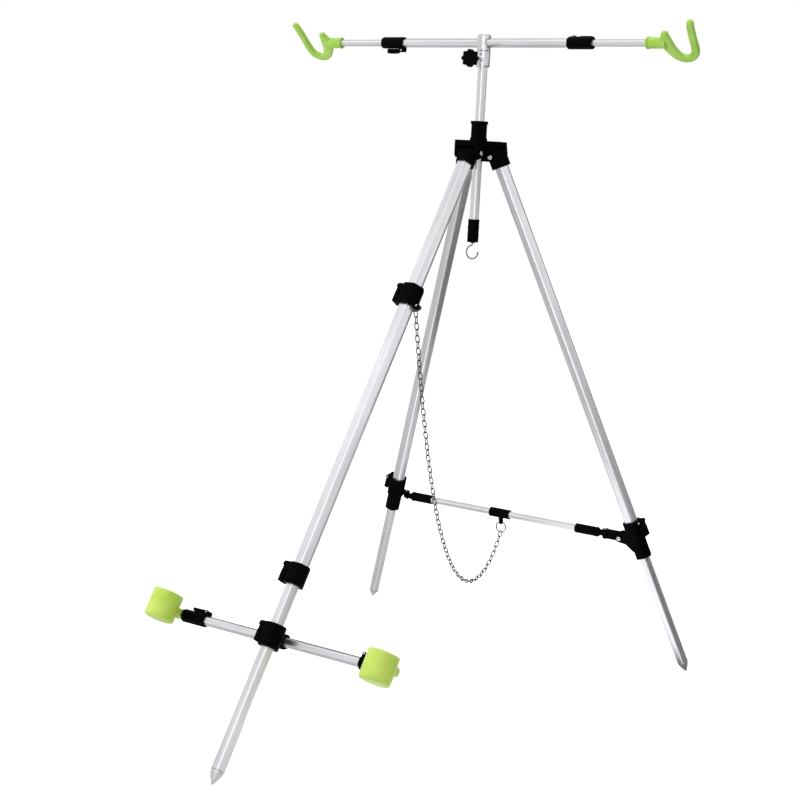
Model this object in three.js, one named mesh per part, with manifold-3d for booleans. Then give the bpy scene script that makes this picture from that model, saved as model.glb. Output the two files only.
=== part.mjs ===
// Two-rod fishing tripod: three telescopic legs on a moulded crown, a sliding
// column with a cross bar and two rod rests, a butt bar with two cups on the
// front leg, a brace between the rear legs and a safety chain.
// Millimetres, +Z up, +X to the viewer's right, the front leg towards -Y.
import * as THREE from 'three';
import { mergeVertices } from 'three/addons/utils/BufferGeometryUtils.js';
import Module from 'manifold-3d';

const wasm = await Module();
wasm.setup();

// Stance of the opened stand
const crownHeight = 972;
const crownLean = THREE.MathUtils.degToRad(3.8);
const frontFootReach = 735;
const rearFootSide = 374;
const rearFootBack = 195;

// Gaps between pieces that seat on each other, and between pieces that turn
const seatGap = 0.3;
const turnGap = 0.5;
const cutOverrun = 2;
const facetTolerance = 0.02;

// Hexagonal tubes, sizes across the flats
const tubeWall = 1.2;
const tubeRounding = 2.6;
const frontTubeAcross = 26;
const frontLowerAcross = 22;
const rearTubeAcross = 24;
const rearLowerAcross = 19.5;
const columnAcross = 17;
const crossTubeAcross = 14.5;
const crossRodAcross = 11;
const buttTubeAcross = 15.5;
const buttRodAcross = 12;
const braceAcross = 12.8;
const barRounding = 1.8;

// Crown and its three hinges
const frontPivotForward = 29;
const rearPivotBack = 20;
const rearPivotSide = 29;
const crownTop = 23;
const crownPlate = 6.6;
const crownCheekDrop = 9;
const crownCheek = 4.8;
const crownRounding = 5;
const crownSideFlare = 42;
const crownChamfer = 11;
const crownWeb = 4;
const crownHubAcross = 22.4;
const crownHubDrop = 8.5;
const pivotRadius = 3.6;
const pivotHeadRadius = 5.6;
const pivotHeadHeight = 2.4;
const barrelRadius = 12;
const socketWall = 3.3;
const rearSocketWall = 4.8;
const socketTop = 8.5;
const socketMouth = 24.5;
const socketPlug = 4;

// Column, its guide collar, end cap and bag hook
const columnTopReach = 181;
const columnBottomDrop = 150;
const guideWall = 5.3;
const guideHeight = 35;
const guideFlange = 3;
const guideFlangeHeight = 5;
const guideSlit = 1.8;
const endCapWall = 1.4;
const endCapGrip = 30;
const endCapFloor = 12;
const endCapTop = columnBottomDrop - endCapGrip;
const endCapBottom = columnBottomDrop + endCapFloor;
const endCapRib = 0.7;
const hookWire = 1.6;
const hookRadius = 11.5;
const hookShank = 5;
const hookBossRadius = 4;

// Tee at the column's head
const teeRadius = 12.4;
const teeGrip = 25;
const teeSeamRise = 2.6;
const teeCapHeight = 30.4;
const teeLowerBottom = columnTopReach - teeGrip;
const teeSeam = columnTopReach + teeSeamRise;
const teeTop = teeSeam + teeCapHeight;
const teeDome = 3;
const teeFlat = 11.3;
const teeSpigotLength = 24;
const crossBarRise = 15.1;
const crossBarReach = teeSeam + crossBarRise;
const bossRadius = 5.6;
const bossReach = 22;
const studRadius = 3;
const knobReach = 43;
const knobRise = 12.3;
const knobHeight = teeLowerBottom + knobRise;
const knobRadius = 16;
const knobLobe = 1.5;
const knobThickness = 12;
const knobBevel = 1.4;
const knobNeckRadius = 7.5;
const knobNeck = 8;

// Cross bar, its rods and rests
const crossTubeEnd = 203;
const crossClampGrip = 26;
const crossClampStart = crossTubeEnd - crossClampGrip;
const crossClampLength = 48;
const crossOverlap = 99;
const crossRodInner = crossTubeEnd - crossOverlap;
const crossRodEnd = 352;
const restGrip = 23;
const restStart = crossRodEnd - restGrip;
const restLean = THREE.MathUtils.degToRad(46);
const restSocketAcross = 17.5;
const restSocketLength = 37;
const restThickness = 11;
const restBevel = 1.6;
const restLength = 104;
const restHeight = 100;

// Clamps with a flip lever
const clampWall = 2.7;
const clampRounding = 3.2;
const clampSlit = 1.6;
const crossLeverTurns = { left: 0, right: -Math.PI / 3 };
const buttLeverTurns = { left: Math.PI, right: 0 };

// Front leg fittings, measured down the leg from its hinge
const frontTubeEnd = 842;
const chainCollarTop = 284;
const chainCollarLength = 39;
const chainCollarWall = 5;
const frontLockWall = 3.4;
const frontLockGrip = 21;
const frontLockTop = frontTubeEnd - frontLockGrip;
const frontLockLength = 36;
const frontOverlap = 152;
const frontLowerTop = frontTubeEnd - frontOverlap;
const frontSpikeLength = 23.93391;
const buttCollarBelow = 71;
const buttCollarTop = frontLockTop + frontLockLength + buttCollarBelow;
const buttCollarLength = 40;
const buttCollarWall = 6;
const buttBarBehind = 28;
const buttBarSleeve = 19;
const buttBarDrop = 18;
const buttBarStation = buttCollarTop + buttBarDrop;

// Butt bar and cups
const buttTubeEnd = 190;
const buttClampGrip = 24;
const buttClampStart = buttTubeEnd - buttClampGrip;
const buttClampLength = 50;
const buttOverlap = 98;
const buttRodInner = buttTubeEnd - buttOverlap;
const buttRodEnd = 231;
const cupBeyond = { left: 7, right: -6 };
const cupDrops = { left: 1, right: 8 };
const cupForward = 36;
const cupRadius = 26.6;
const cupHeight = 49;
const cupWall = 3;
const cupFloor = 4;
const cupRounding = 5;
const cupSleeveAcross = 17;
const cupSleeveGap = 0.6;
const cupSleeveCap = 6;
const cupSleeveEnd = buttRodEnd + cupSleeveCap;

// Rear leg fittings, measured down the leg from its hinge
const rearTubeEnd = 778;
const bracketGrip = 46;
const bracketLength = 73;
const bracketShoulder = 36;
const bracketTop = rearTubeEnd - bracketGrip;
const bracketStep = bracketTop + bracketShoulder;
const bracketBottom = bracketTop + bracketLength;
const bracketWall = 4.4;
const bracketLowerWall = 4.4;
const rearOverlap = 158;
const rearLowerTop = rearTubeEnd - rearOverlap;
const rearSpikeLength = 21.92795;

// Brace between the rear legs: hinged on the right bracket, pinned on the left one
const braceDrop = 38;
const braceStation = bracketTop + braceDrop;
const screwInset = 35;
const clevisInset = 29.5;
const armThickness = 4;
const armRadius = 9.2;
const linkThickness = 9;
const linkRadius = 8;
const linkLength = 34;
const linkScrewRadius = 3;
const linkScrewHead = 4.8;
const linkScrewHeadHeight = 2.2;
const forkHeight = 17;
const forkRadius = 7;
const tangHeight = 6;
const tangRadius = 6.4;
const boltRadius = 2;
const boltHead = 4;
const boltHeadHeight = 1.8;
const clevisEar = 6;
const clevisSlot = 2.2;
const braceSleeveLength = 52;
const braceSleeveWall = 2.3;
const braceSleeveNeck = 12;
const braceTubeGrip = 34;
const clipSide = -24;
const clipLength = 44;
const clipWall = 2.4;
const clipMouth = 8;
const lugWidth = 11;
const lugThickness = 4;
const lugRadius = 5;
const lugDrop = 15;
const lugHole = 2.2;

// Chain and its two rings
const ringWire = 1.1;
const smallRingRadius = 6;
const bigRingRadius = 10.6;
const chainWire = 1;
const chainLinkLength = 15.2;
const chainLinkWidth = 9;
const chainTouch = 0.35;
const chainLinks = 69;

// Colours and finishes
const brushedAluminium = { color: 0xc9ccd0, roughness: 0.34, metalness: 1 };
const polishedSteel = { color: 0xd8dadd, roughness: 0.16, metalness: 1 };
const blackPlastic = { color: 0x0d0d0e, roughness: 0.55, metalness: 0 };
const limePlastic = { color: 0x9bea1e, roughness: 0.42, metalness: 0 };

const up = new THREE.Vector3(0, 0, 1);

// Turn a closed geometry into a solid, and a solid back into a geometry
function toSolid(geometry) {
  const bare = geometry.clone();
  bare.deleteAttribute('normal');
  bare.deleteAttribute('uv');
  const welded = mergeVertices(bare);
  const corners = welded.index.array;
  const kept = [];
  for (let i = 0; i < corners.length; i += 3) {
    const [a, b, c] = [corners[i], corners[i + 1], corners[i + 2]];
    if (a !== b && b !== c && c !== a) {
      kept.push(a, b, c);
    }
  }
  return new wasm.Manifold(new wasm.Mesh({
    numProp: 3,
    vertProperties: new Float32Array(welded.attributes.position.array),
    triVerts: new Uint32Array(kept),
  }));
}

function toGeometry(solid) {
  const mesh = solid.getMesh();
  const geometry = new THREE.BufferGeometry();
  geometry.setAttribute('position', new THREE.BufferAttribute(new Float32Array(mesh.vertProperties), 3));
  geometry.setIndex(new THREE.BufferAttribute(new Uint32Array(mesh.triVerts), 1));
  return geometry;
}

function join(first, ...others) {
  return toGeometry(others.reduce((sum, other) => sum.add(toSolid(other)), toSolid(first)));
}

function cut(first, ...others) {
  return toGeometry(others.reduce((sum, other) => sum.subtract(toSolid(other)), toSolid(first)));
}

function common(first, other) {
  return toGeometry(toSolid(first).intersect(toSolid(other)));
}

// Hexagon with rounded corners: flats face -Y and +Y, corners point along X
function hexagon(across, rounding, Outline = THREE.Shape, cornerSteps = 2) {
  const reach = across / Math.sqrt(3) - rounding / Math.cos(Math.PI / 6);
  const points = [];
  for (let corner = 0; corner < 6; corner += 1) {
    const heading = corner * Math.PI / 3;
    for (let step = 0; step <= cornerSteps; step += 1) {
      const angle = heading + (step / cornerSteps - 0.5) * Math.PI / 3;
      points.push(new THREE.Vector2(
        reach * Math.cos(heading) + rounding * Math.cos(angle),
        reach * Math.sin(heading) + rounding * Math.sin(angle),
      ));
    }
  }
  return new Outline(points);
}

// Upright solids: each runs from its low to its high end along Z
function extrude(shape, low, high) {
  return new THREE.ExtrudeGeometry(shape, { depth: high - low, bevelEnabled: false }).translate(0, 0, low);
}

function hexBar(across, rounding, low, high) {
  return extrude(hexagon(across, rounding), low, high);
}

function hexBody(across, low, high) {
  return extrude(hexagon(across, clampRounding, THREE.Shape, 1), low, high);
}

function hexTube(across, rounding, low, high) {
  const outline = hexagon(across, rounding);
  outline.holes.push(hexagon(across - 2 * tubeWall, rounding - tubeWall / 2, THREE.Path));
  return extrude(outline, low, high);
}

function rod(radius, low, high, sides = 16) {
  return new THREE.CylinderGeometry(radius, radius, high - low, sides)
    .rotateX(Math.PI / 2)
    .translate(0, 0, (low + high) / 2);
}

function box(from, to) {
  return new THREE.BoxGeometry(to.x - from.x, to.y - from.y, to.z - from.z)
    .translate((from.x + to.x) / 2, (from.y + to.y) / 2, (from.z + to.z) / 2);
}

function at(x, y, z) {
  return new THREE.Vector3(x, y, z);
}

// Lay an upright solid along X, along Y, or stand a plate drawn in X and Y up into X and Z
function alongX(geometry) {
  return geometry.rotateY(Math.PI / 2);
}

function alongY(geometry) {
  return geometry.rotateX(-Math.PI / 2);
}

function standPlate(shape, thickness) {
  return extrude(shape, -thickness / 2, thickness / 2).rotateX(Math.PI / 2);
}

// A wire of round section bent along an open curve
function wire(points, radius, steps, sides = 8) {
  const section = new THREE.Shape();
  section.absarc(0, 0, radius, 0, 2 * Math.PI);
  const outline = new THREE.Shape(section.getSpacedPoints(sides).slice(0, -1));
  const path = new THREE.CatmullRomCurve3(points);
  return new THREE.ExtrudeGeometry(outline, { steps, extrudePath: path, bevelEnabled: false });
}

function piece(name, geometry, finish, parent) {
  const tidy = toGeometry(toSolid(geometry).asOriginal().simplify(facetTolerance));
  tidy.computeVertexNormals();
  const mesh = new THREE.Mesh(tidy, new THREE.MeshStandardMaterial({ ...finish, flatShading: true }));
  mesh.name = name;
  parent.add(mesh);
  return mesh;
}

// Clamp with a flip lever on its +X side. The wide tube enters from the top at zero,
// the slim tube leaves at the bottom, and the lever's pin crosses between two ears.
function clampBody({ wide, slim, wall, length, seat, lever }) {
  const outer = wide + 2 * (seatGap + wall);
  const face = outer / Math.sqrt(3) - wall / 2;
  const pinSide = face + lever.barrel;
  const earHalf = lever.width / 2 + turnGap + lever.ear;
  const ear = alongY(rod(lever.barrel, -earHalf, earHalf, 12)).translate(pinSide, 0, -lever.pinDrop);
  const rise = box(
    at(0, -earHalf, -lever.pinDrop - 2 * lever.barrel),
    at(pinSide, earHalf, -lever.pinDrop + lever.barrel),
  );
  const slotHalf = lever.width / 2 + turnGap;
  const slotEnd = pinSide + lever.barrel + cutOverrun;
  const slot = box(
    at(pinSide - lever.barrel - turnGap, -slotHalf, -length - cutOverrun),
    at(slotEnd, slotHalf, cutOverrun),
  );
  const hole = alongY(rod(lever.pin + seatGap, -earHalf - cutOverrun, earHalf + cutOverrun, 10))
    .translate(pinSide, 0, -lever.pinDrop);
  const slit = box(
    at(-outer, -clampSlit / 2, -length - cutOverrun),
    at(0, clampSlit / 2, -seat),
  );
  return cut(
    join(hexBody(outer, -length, 0), ear, rise),
    slot,
    hole,
    slit,
    hexBar(wide + 2 * seatGap, tubeRounding, -seat, cutOverrun),
    hexBar(slim + 2 * seatGap, barRounding, -length - cutOverrun, cutOverrun),
  );
}

function clampLever({ wide, wall, lever }) {
  const outer = wide + 2 * (seatGap + wall);
  const pinSide = outer / Math.sqrt(3) - wall / 2 + lever.barrel;
  const pinHalf = lever.width / 2 + turnGap + lever.ear;
  const barrel = lever.barrel - turnGap / 2;
  const handle = new THREE.Shape([
    new THREE.Vector2(-barrel * 0.95, 0),
    new THREE.Vector2(-barrel * 0.95, -lever.reach),
    new THREE.Vector2(lever.paddle, -lever.reach),
    new THREE.Vector2(lever.paddle, -lever.reach * 0.36),
    new THREE.Vector2(barrel, -lever.reach * 0.3),
    new THREE.Vector2(barrel, 0),
  ]);
  return join(
    alongY(rod(barrel, -lever.width / 2, lever.width / 2, 12)),
    standPlate(handle, lever.width),
    alongY(rod(lever.pin, -pinHalf, pinHalf, 10)),
  ).translate(pinSide, 0, -lever.pinDrop);
}

// Lever sizes of the large and the small clamps
const legLever = { width: 19, barrel: 4.8, ear: 2.8, pin: 2, pinDrop: 4.8, reach: 30, paddle: 5.2 };
const crossLever = { width: 9, barrel: 3.2, ear: 2, pin: 1.5, pinDrop: 3.2, reach: 33, paddle: 5.4 };
const buttLever = { width: 10, barrel: 3.2, ear: 2.4, pin: 1.5, pinDrop: 3.2, reach: 31, paddle: 2.4 };
const bracketLever = { width: 14, barrel: 4, ear: 2.6, pin: 2, pinDrop: 4, reach: 28, paddle: 4.6 };

const stand = new THREE.Group();

// Head: origin on the column's axis at the height of the leg hinges
const head = new THREE.Group();
head.position.set(0, 0, crownHeight);
head.rotation.x = -crownLean;
stand.add(head);
stand.updateMatrixWorld(true);

// Leg frames: origin on the hinge, +Z up the leg
const frontPivot = head.localToWorld(at(0, -frontPivotForward, 0));
const frontFoot = at(0, -frontFootReach, 0);
const frontRise = frontPivot.clone().sub(frontFoot);
const frontLength = frontRise.length();
const frontSpikeBase = frontLength - frontSpikeLength;
const frontLeg = new THREE.Group();
frontLeg.position.copy(frontPivot);
frontLeg.rotation.x = -Math.atan2(frontRise.y, frontRise.z);
stand.add(frontLeg);

const rearPivot = head.localToWorld(at(rearPivotSide, rearPivotBack, 0));
const rearRise = rearPivot.clone().sub(at(rearFootSide, rearFootBack, 0));
const rearLength = rearRise.length();
const rearSpikeBase = rearLength - rearSpikeLength;
const rearLean = Math.atan2(-rearRise.y, rearRise.z);
const rearSplay = Math.asin(-rearRise.x / rearLength);

function rearLegFrame(side) {
  const leg = new THREE.Group();
  leg.position.set(side * rearPivot.x, rearPivot.y, rearPivot.z);
  leg.rotation.set(rearLean, -side * rearSplay, 0);
  stand.add(leg);
  return leg;
}

// Crown: top plate, hub, front fork, tilted rear fork and the three hinge pins
const frontBarrelHalf = (frontTubeAcross + 2 * (seatGap + socketWall)) / Math.sqrt(3);
const rearBarrelHalf = rearTubeAcross / 2 + seatGap + rearSocketWall;
const rearForkTilt = rearLean + crownLean;

function crownPlan() {
  const forkHalf = frontBarrelHalf + turnGap + crownCheek;
  const front = frontPivotForward + barrelRadius;
  const back = rearPivotBack + rearBarrelHalf + turnGap + crownCheek;
  const half = [
    [forkHalf - crownRounding, -front],
    [forkHalf, -front + crownRounding],
    [forkHalf, -frontPivotForward / 2],
    [crownSideFlare, 0],
    [crownSideFlare, back - crownChamfer],
    [crownSideFlare - crownChamfer, back],
  ];
  const mirrored = half.map(([x, y]) => [-x, y]).reverse();
  return new THREE.Shape([...half, ...mirrored].map(([x, y]) => new THREE.Vector2(x, y)));
}

function crownCheekPlate(half, thickness) {
  const shape = new THREE.Shape();
  const top = crownTop + crownPlate;
  shape.moveTo(half, top);
  shape.lineTo(-half, top);
  shape.lineTo(-half, -crownCheekDrop + crownRounding);
  shape.lineTo(-half + crownRounding, -crownCheekDrop);
  shape.lineTo(half - crownRounding, -crownCheekDrop);
  shape.lineTo(half, -crownCheekDrop + crownRounding);
  return standPlate(shape, thickness);
}

function pivotPin(half) {
  return join(
    rod(pivotRadius, -half, half),
    rod(pivotHeadRadius, half - cutOverrun, half + pivotHeadHeight, 12),
    rod(pivotHeadRadius, -half - pivotHeadHeight, cutOverrun - half, 12),
  );
}

function buildCrown() {
  const frontHalf = frontBarrelHalf + turnGap;
  const rearHalf = rearBarrelHalf + turnGap;
  let crown = extrude(crownPlan(), crownTop - crownPlate, crownTop);
  for (const side of [-1, 1]) {
    const cheek = crownCheekPlate(barrelRadius, crownCheek)
      .rotateZ(Math.PI / 2)
      .translate(side * (frontHalf + crownCheek / 2), -frontPivotForward, 0);
    crown = join(crown, cheek);
  }
  crown = join(crown, box(
    at(-frontHalf - crownCheek, -frontPivotForward - barrelRadius, barrelRadius + turnGap),
    at(frontHalf + crownCheek, 0, crownTop),
  ));
  for (const side of [-1, 1]) {
    const cheek = crownCheekPlate(crownSideFlare - crownWeb, crownCheek)
      .translate(0, side * (rearHalf + crownCheek / 2), 0)
      .rotateX(rearForkTilt)
      .translate(0, rearPivotBack, 0);
    crown = join(crown, cheek);
  }
  crown = cut(crown, box(
    at(-2 * crownSideFlare, -2 * crownSideFlare, crownTop),
    at(2 * crownSideFlare, 2 * crownSideFlare, 2 * crownTop),
  ));
  crown = join(crown, hexBar(crownHubAcross, barRounding, -crownHubDrop, crownTop));
  const frontPin = alongX(pivotPin(frontHalf + crownCheek)).translate(0, -frontPivotForward, 0);
  crown = join(crown, frontPin);
  for (const side of [-1, 1]) {
    const pin = alongY(pivotPin(rearHalf + crownCheek))
      .rotateX(rearForkTilt)
      .translate(side * rearPivotSide, rearPivotBack, 0);
    crown = join(crown, pin);
  }
  return cut(crown, hexBar(columnAcross + 2 * seatGap, tubeRounding, -2 * crownTop, crownTop + cutOverrun));
}

// Collar on the crown that guides and grips the column
function buildGuide() {
  const low = crownTop + seatGap;
  const high = low + guideHeight;
  const outer = columnAcross + 2 * (seatGap + guideWall);
  const half = outer / 2;
  return cut(
    join(
      hexBody(outer, low, high),
      hexBody(outer + guideFlange, low, low + guideFlangeHeight),
      hexBody(outer + guideFlange, high - guideFlangeHeight, high),
    ),
    hexBar(columnAcross + 2 * seatGap, tubeRounding, low - cutOverrun, high + cutOverrun),
    box(at(-half - guideFlange, -guideSlit / 2, low - cutOverrun), at(0, guideSlit / 2, high + cutOverrun)),
  );
}

function buildEndCap() {
  const outer = columnAcross + 2 * (seatGap + endCapWall);
  let cap = hexBody(outer, -endCapBottom, -endCapTop);
  const ribs = 2;
  for (let rib = 0; rib < ribs; rib += 1) {
    const middle = -endCapBottom + (endCapBottom - endCapTop) * (rib + 1) / (ribs + 1);
    cap = join(cap, hexBody(outer + 2 * endCapRib, middle - endCapRib, middle + endCapRib));
  }
  return cut(
    cap,
    hexBar(columnAcross + 2 * seatGap, tubeRounding, -columnBottomDrop - seatGap, cutOverrun - endCapTop),
    rod(hookWire + seatGap, -endCapBottom - cutOverrun, -columnBottomDrop, 10),
  );
}

// Open bag hook screwed into the end cap
function buildHook() {
  const turns = 10;
  const start = -endCapBottom - seatGap;
  const centre = start - hookShank - hookRadius;
  const points = [
    at(0, 0, start - hookBossRadius / 4),
    at(0, 0, start - hookShank * 0.6),
  ];
  for (let turn = 0; turn <= turns; turn += 1) {
    const angle = Math.PI * (0.56 + 1.42 * turn / turns);
    points.push(at(hookRadius * Math.cos(angle), 0, centre + hookRadius * Math.sin(angle)));
  }
  const shankTop = -columnBottomDrop - hookShank;
  return join(
    wire(points, hookWire, 14, 6),
    rod(hookBossRadius, start - hookWire, start, 10),
    rod(hookWire, start - hookShank / 2, shankTop, 10),
  );
}

// Lower tee: sleeve pinned on the column, with the boss of the star knob
function buildTeeLower() {
  const bore = columnAcross + 2 * seatGap;
  const boss = alongY(rod(bossRadius, -bossReach, 0, 12)).translate(0, 0, knobHeight);
  const channel = alongY(rod(studRadius + seatGap, -bossReach - cutOverrun, 0, 12)).translate(0, 0, knobHeight);
  return cut(
    join(rod(teeRadius, teeLowerBottom, teeSeam, 24), boss),
    hexBar(bore, tubeRounding, teeLowerBottom - cutOverrun, columnTopReach + seatGap),
    rod(columnAcross / 2 - tubeWall, teeLowerBottom, teeSeam + cutOverrun, 16),
    channel,
  );
}

// Upper tee: domed cap that turns on a spigot in the column and carries the cross bar
function buildTeeUpper() {
  const low = teeSeam + seatGap;
  const spigot = columnAcross / 2 - tubeWall - seatGap;
  const profile = [
    [0, low - teeSpigotLength],
    [spigot, low - teeSpigotLength],
    [spigot, low],
    [teeRadius, low],
    [teeRadius, teeTop - teeDome],
    [teeRadius - teeDome, teeTop],
    [0, teeTop],
  ].map(([radius, height]) => new THREE.Vector2(radius, height));
  const cap = new THREE.LatheGeometry(profile, 24).rotateX(Math.PI / 2);
  const teeEdge = teeRadius + cutOverrun;
  const flatHalf = crossTubeAcross / 2 + barRounding;
  const flats = [-1, 1].map((side) => box(
    at(side > 0 ? teeFlat : -teeEdge, -teeRadius, crossBarReach - flatHalf),
    at(side > 0 ? teeEdge : -teeFlat, teeRadius, crossBarReach + flatHalf),
  ));
  const bore = alongX(hexBar(crossTubeAcross + 2 * seatGap, barRounding, -teeEdge, teeEdge));
  return cut(cap, ...flats, bore.translate(0, 0, crossBarReach));
}

function buildKnob() {
  const lobes = 8;
  const around = 32;
  const points = [];
  for (let step = 0; step < around; step += 1) {
    const angle = 2 * Math.PI * step / around;
    const radius = knobRadius - knobLobe - knobBevel + knobLobe * Math.cos(lobes * angle);
    points.push(new THREE.Vector2(radius * Math.cos(angle), radius * Math.sin(angle)));
  }
  const disc = new THREE.ExtrudeGeometry(new THREE.Shape(points), {
    depth: knobThickness - 2 * knobBevel,
    bevelThickness: knobBevel,
    bevelSize: knobBevel,
    bevelSegments: 1,
  }).translate(0, 0, knobBevel - knobThickness / 2);
  const studEnd = columnAcross / 2 + seatGap;
  const knob = join(
    disc,
    rod(knobNeckRadius, -knobThickness / 2 - knobNeck, 0, 14),
    rod(studRadius, studEnd - knobReach, 0, 12),
  );
  return alongY(knob.rotateX(Math.PI)).translate(0, -knobReach, knobHeight);
}

// Cross bar pieces, each centred on the bar's axis
const crossClamp = {
  wide: crossTubeAcross,
  slim: crossRodAcross,
  wall: clampWall,
  length: crossClampLength,
  seat: crossTubeEnd - crossClampStart + seatGap,
  lever: crossLever,
};
const buttClamp = {
  wide: buttTubeAcross,
  slim: buttRodAcross,
  wall: clampWall,
  length: buttClampLength,
  seat: buttTubeEnd - buttClampStart + seatGap,
  lever: buttLever,
};

// Turn a clamp built upright so that its slim end points to the side, with its lever at an angle
function onBar(geometry, side, start, leverAngle) {
  return geometry
    .rotateY(-Math.PI / 2)
    .rotateX(leverAngle)
    .translate(start, 0, 0)
    .rotateY(side > 0 ? 0 : Math.PI);
}

// Rod rest: a strip with a short inner arm, a rounded seat and a long flared outer arm,
// drawn outwards and upwards as shares of its length and height
const restShares = [
  [0.27, 0.09], [0.285, 0.22], [0.33, 0.3], [0.38, 0.31], [0.42, 0.27], [0.44, 0.08], [0.49, -0.12],
  [0.57, -0.25], [0.65, -0.29], [0.73, -0.27], [0.78, -0.18], [0.8, 0.1], [0.81, 0.38], [0.84, 0.5],
  [0.9, 0.56], [0.96, 0.56], [0.985, 0.52], [0.95, 0.42], [0.92, 0.04], [0.9, -0.2], [0.84, -0.33],
  [0.7, -0.42], [0.55, -0.44], [0.44, -0.39], [0.36, -0.25], [0.28, -0.1],
];

function buildRest(side) {
  const points = restShares.map(([out, rise]) => new THREE.Vector2(out * restLength, rise * restHeight));
  const outline = new THREE.Shape(points);
  const strip = new THREE.ExtrudeGeometry(outline, {
    depth: restThickness - 2 * restBevel,
    bevelThickness: restBevel,
    bevelSize: restBevel,
    bevelOffset: -restBevel,
    bevelSegments: 1,
  });
  strip.translate(restStart, 0, restBevel - restThickness / 2);
  strip.rotateY(side > 0 ? 0 : Math.PI).rotateX(Math.PI / 2 + restLean);
  const socket = barPiece(hexBody(restSocketAcross, restStart, restStart + restSocketLength), side);
  const bore = barPiece(
    hexBar(crossRodAcross + 2 * seatGap, barRounding, restStart - cutOverrun, crossRodEnd + seatGap),
    side,
  );
  return cut(join(strip, socket), bore);
}

// Pieces on a cross bar: a tube or rod between two reaches on one side of the middle
function barPiece(geometry, side) {
  const laid = alongX(geometry);
  return side > 0 ? laid : laid.rotateY(Math.PI);
}

// Butt cup: open cup whose wall stands along the leg, with a socket for the rod behind it
function buildCup(name, side) {
  const [low, high] = [-cupHeight / 2, cupHeight / 2];
  const inner = cupRadius - cupWall;
  const profile = [
    [0, low],
    [cupRadius - cupRounding, low],
    [cupRadius - cupRounding * 0.3, low + cupRounding * 0.3],
    [cupRadius, low + cupRounding],
    [cupRadius, high - cupWall / 4],
    [cupRadius - cupWall / 4, high],
    [inner, high],
    [inner, low + cupFloor + cupRounding],
    [inner - cupRounding, low + cupFloor],
    [0, low + cupFloor],
  ].map(([radius, height]) => new THREE.Vector2(radius, height));
  const place = [side * (buttRodEnd + cupBeyond[name]), -cupForward, -cupDrops[name]];
  const shell = new THREE.LatheGeometry(profile, 22).rotateX(Math.PI / 2).translate(...place);
  const hollow = rod(inner, low + cupFloor + cupRounding, high + cutOverrun, 22).translate(...place);
  const start = buttClampStart + buttClampLength + cupSleeveGap;
  const sleeve = barPiece(hexBody(cupSleeveAcross, start, cupSleeveEnd), side);
  const middle = side * (start + cupSleeveEnd) / 2;
  const bridgeHalf = (cupSleeveEnd - start) / 2 - cupWall / 2;
  const bridge = box(
    at(middle - bridgeHalf, -cupForward + inner / 2, -cupSleeveAcross / 3),
    at(middle + bridgeHalf, 0, cupSleeveAcross / 3),
  );
  const bore = barPiece(
    hexBar(buttRodAcross + 2 * seatGap, barRounding, start - cutOverrun, buttRodEnd + seatGap),
    side,
  );
  return cut(join(shell, sleeve, cut(bridge, hollow)), bore);
}

// Leg sockets: a barrel on the hinge pin above a hexagonal mouth for the tube
function buildSocket(across, wall, barrelHalf, shoulderRadius, pinAlong) {
  const outer = across + 2 * (seatGap + wall);
  const barrel = pinAlong(rod(barrelRadius, -barrelHalf, barrelHalf, 20));
  const pinHole = pinAlong(rod(pivotRadius + seatGap, -barrelHalf - cutOverrun, barrelHalf + cutOverrun));
  const neck = hexBody(outer, -socketMouth, -socketTop);
  const bore = hexBar(across + 2 * seatGap, tubeRounding, -socketMouth - cutOverrun, -socketTop - socketPlug);
  const shoulder = common(
    hexBody(outer, -socketMouth, 0),
    pinAlong(rod(shoulderRadius, -barrelHalf, barrelHalf, 20)),
  );
  return cut(join(barrel, neck, shoulder), bore, pinHole);
}

// Spike plug: shank in the tube, a collar and a cone that ends on the ground
function buildSpike(across, base, tip) {
  const bore = across / 2 - tubeWall - seatGap;
  const collar = across / 2 + seatGap;
  const profile = [
    [0, -base + across],
    [bore, -base + across],
    [bore, -base - seatGap],
    [collar, -base - seatGap],
    [collar, -base - across / 8],
    [collar * 0.62, -base - (tip - base) * 0.55],
    [0, -tip],
  ].map(([radius, height]) => new THREE.Vector2(radius, height));
  return new THREE.LatheGeometry(profile.reverse(), 14).rotateX(Math.PI / 2);
}

// Collar on the front leg's tube that holds the chain, with a two-eared lug
const chainCollar = {
  wide: frontTubeAcross,
  slim: frontTubeAcross,
  wall: chainCollarWall,
  length: chainCollarLength,
  seat: 0,
  lever: legLever,
};
const frontLock = {
  wide: frontTubeAcross,
  slim: frontLowerAcross,
  wall: frontLockWall,
  length: frontLockLength,
  seat: frontTubeEnd - frontLockTop + seatGap,
  lever: legLever,
};
const buttCollar = {
  wide: frontLowerAcross,
  slim: frontLowerAcross,
  wall: buttCollarWall,
  length: buttCollarLength,
  seat: 0,
  lever: legLever,
};
const bracket = {
  wide: rearTubeAcross,
  slim: rearLowerAcross,
  wall: bracketWall,
  length: bracketLength,
  seat: rearTubeEnd - bracketTop + seatGap,
  lever: bracketLever,
};

// Place of the ring's hole in the chain collar's lug
const lugSide = frontTubeAcross / Math.sqrt(3) + chainCollarWall + smallRingRadius / 2;
const lugDown = chainCollarLength - lugThickness / 2;

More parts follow.
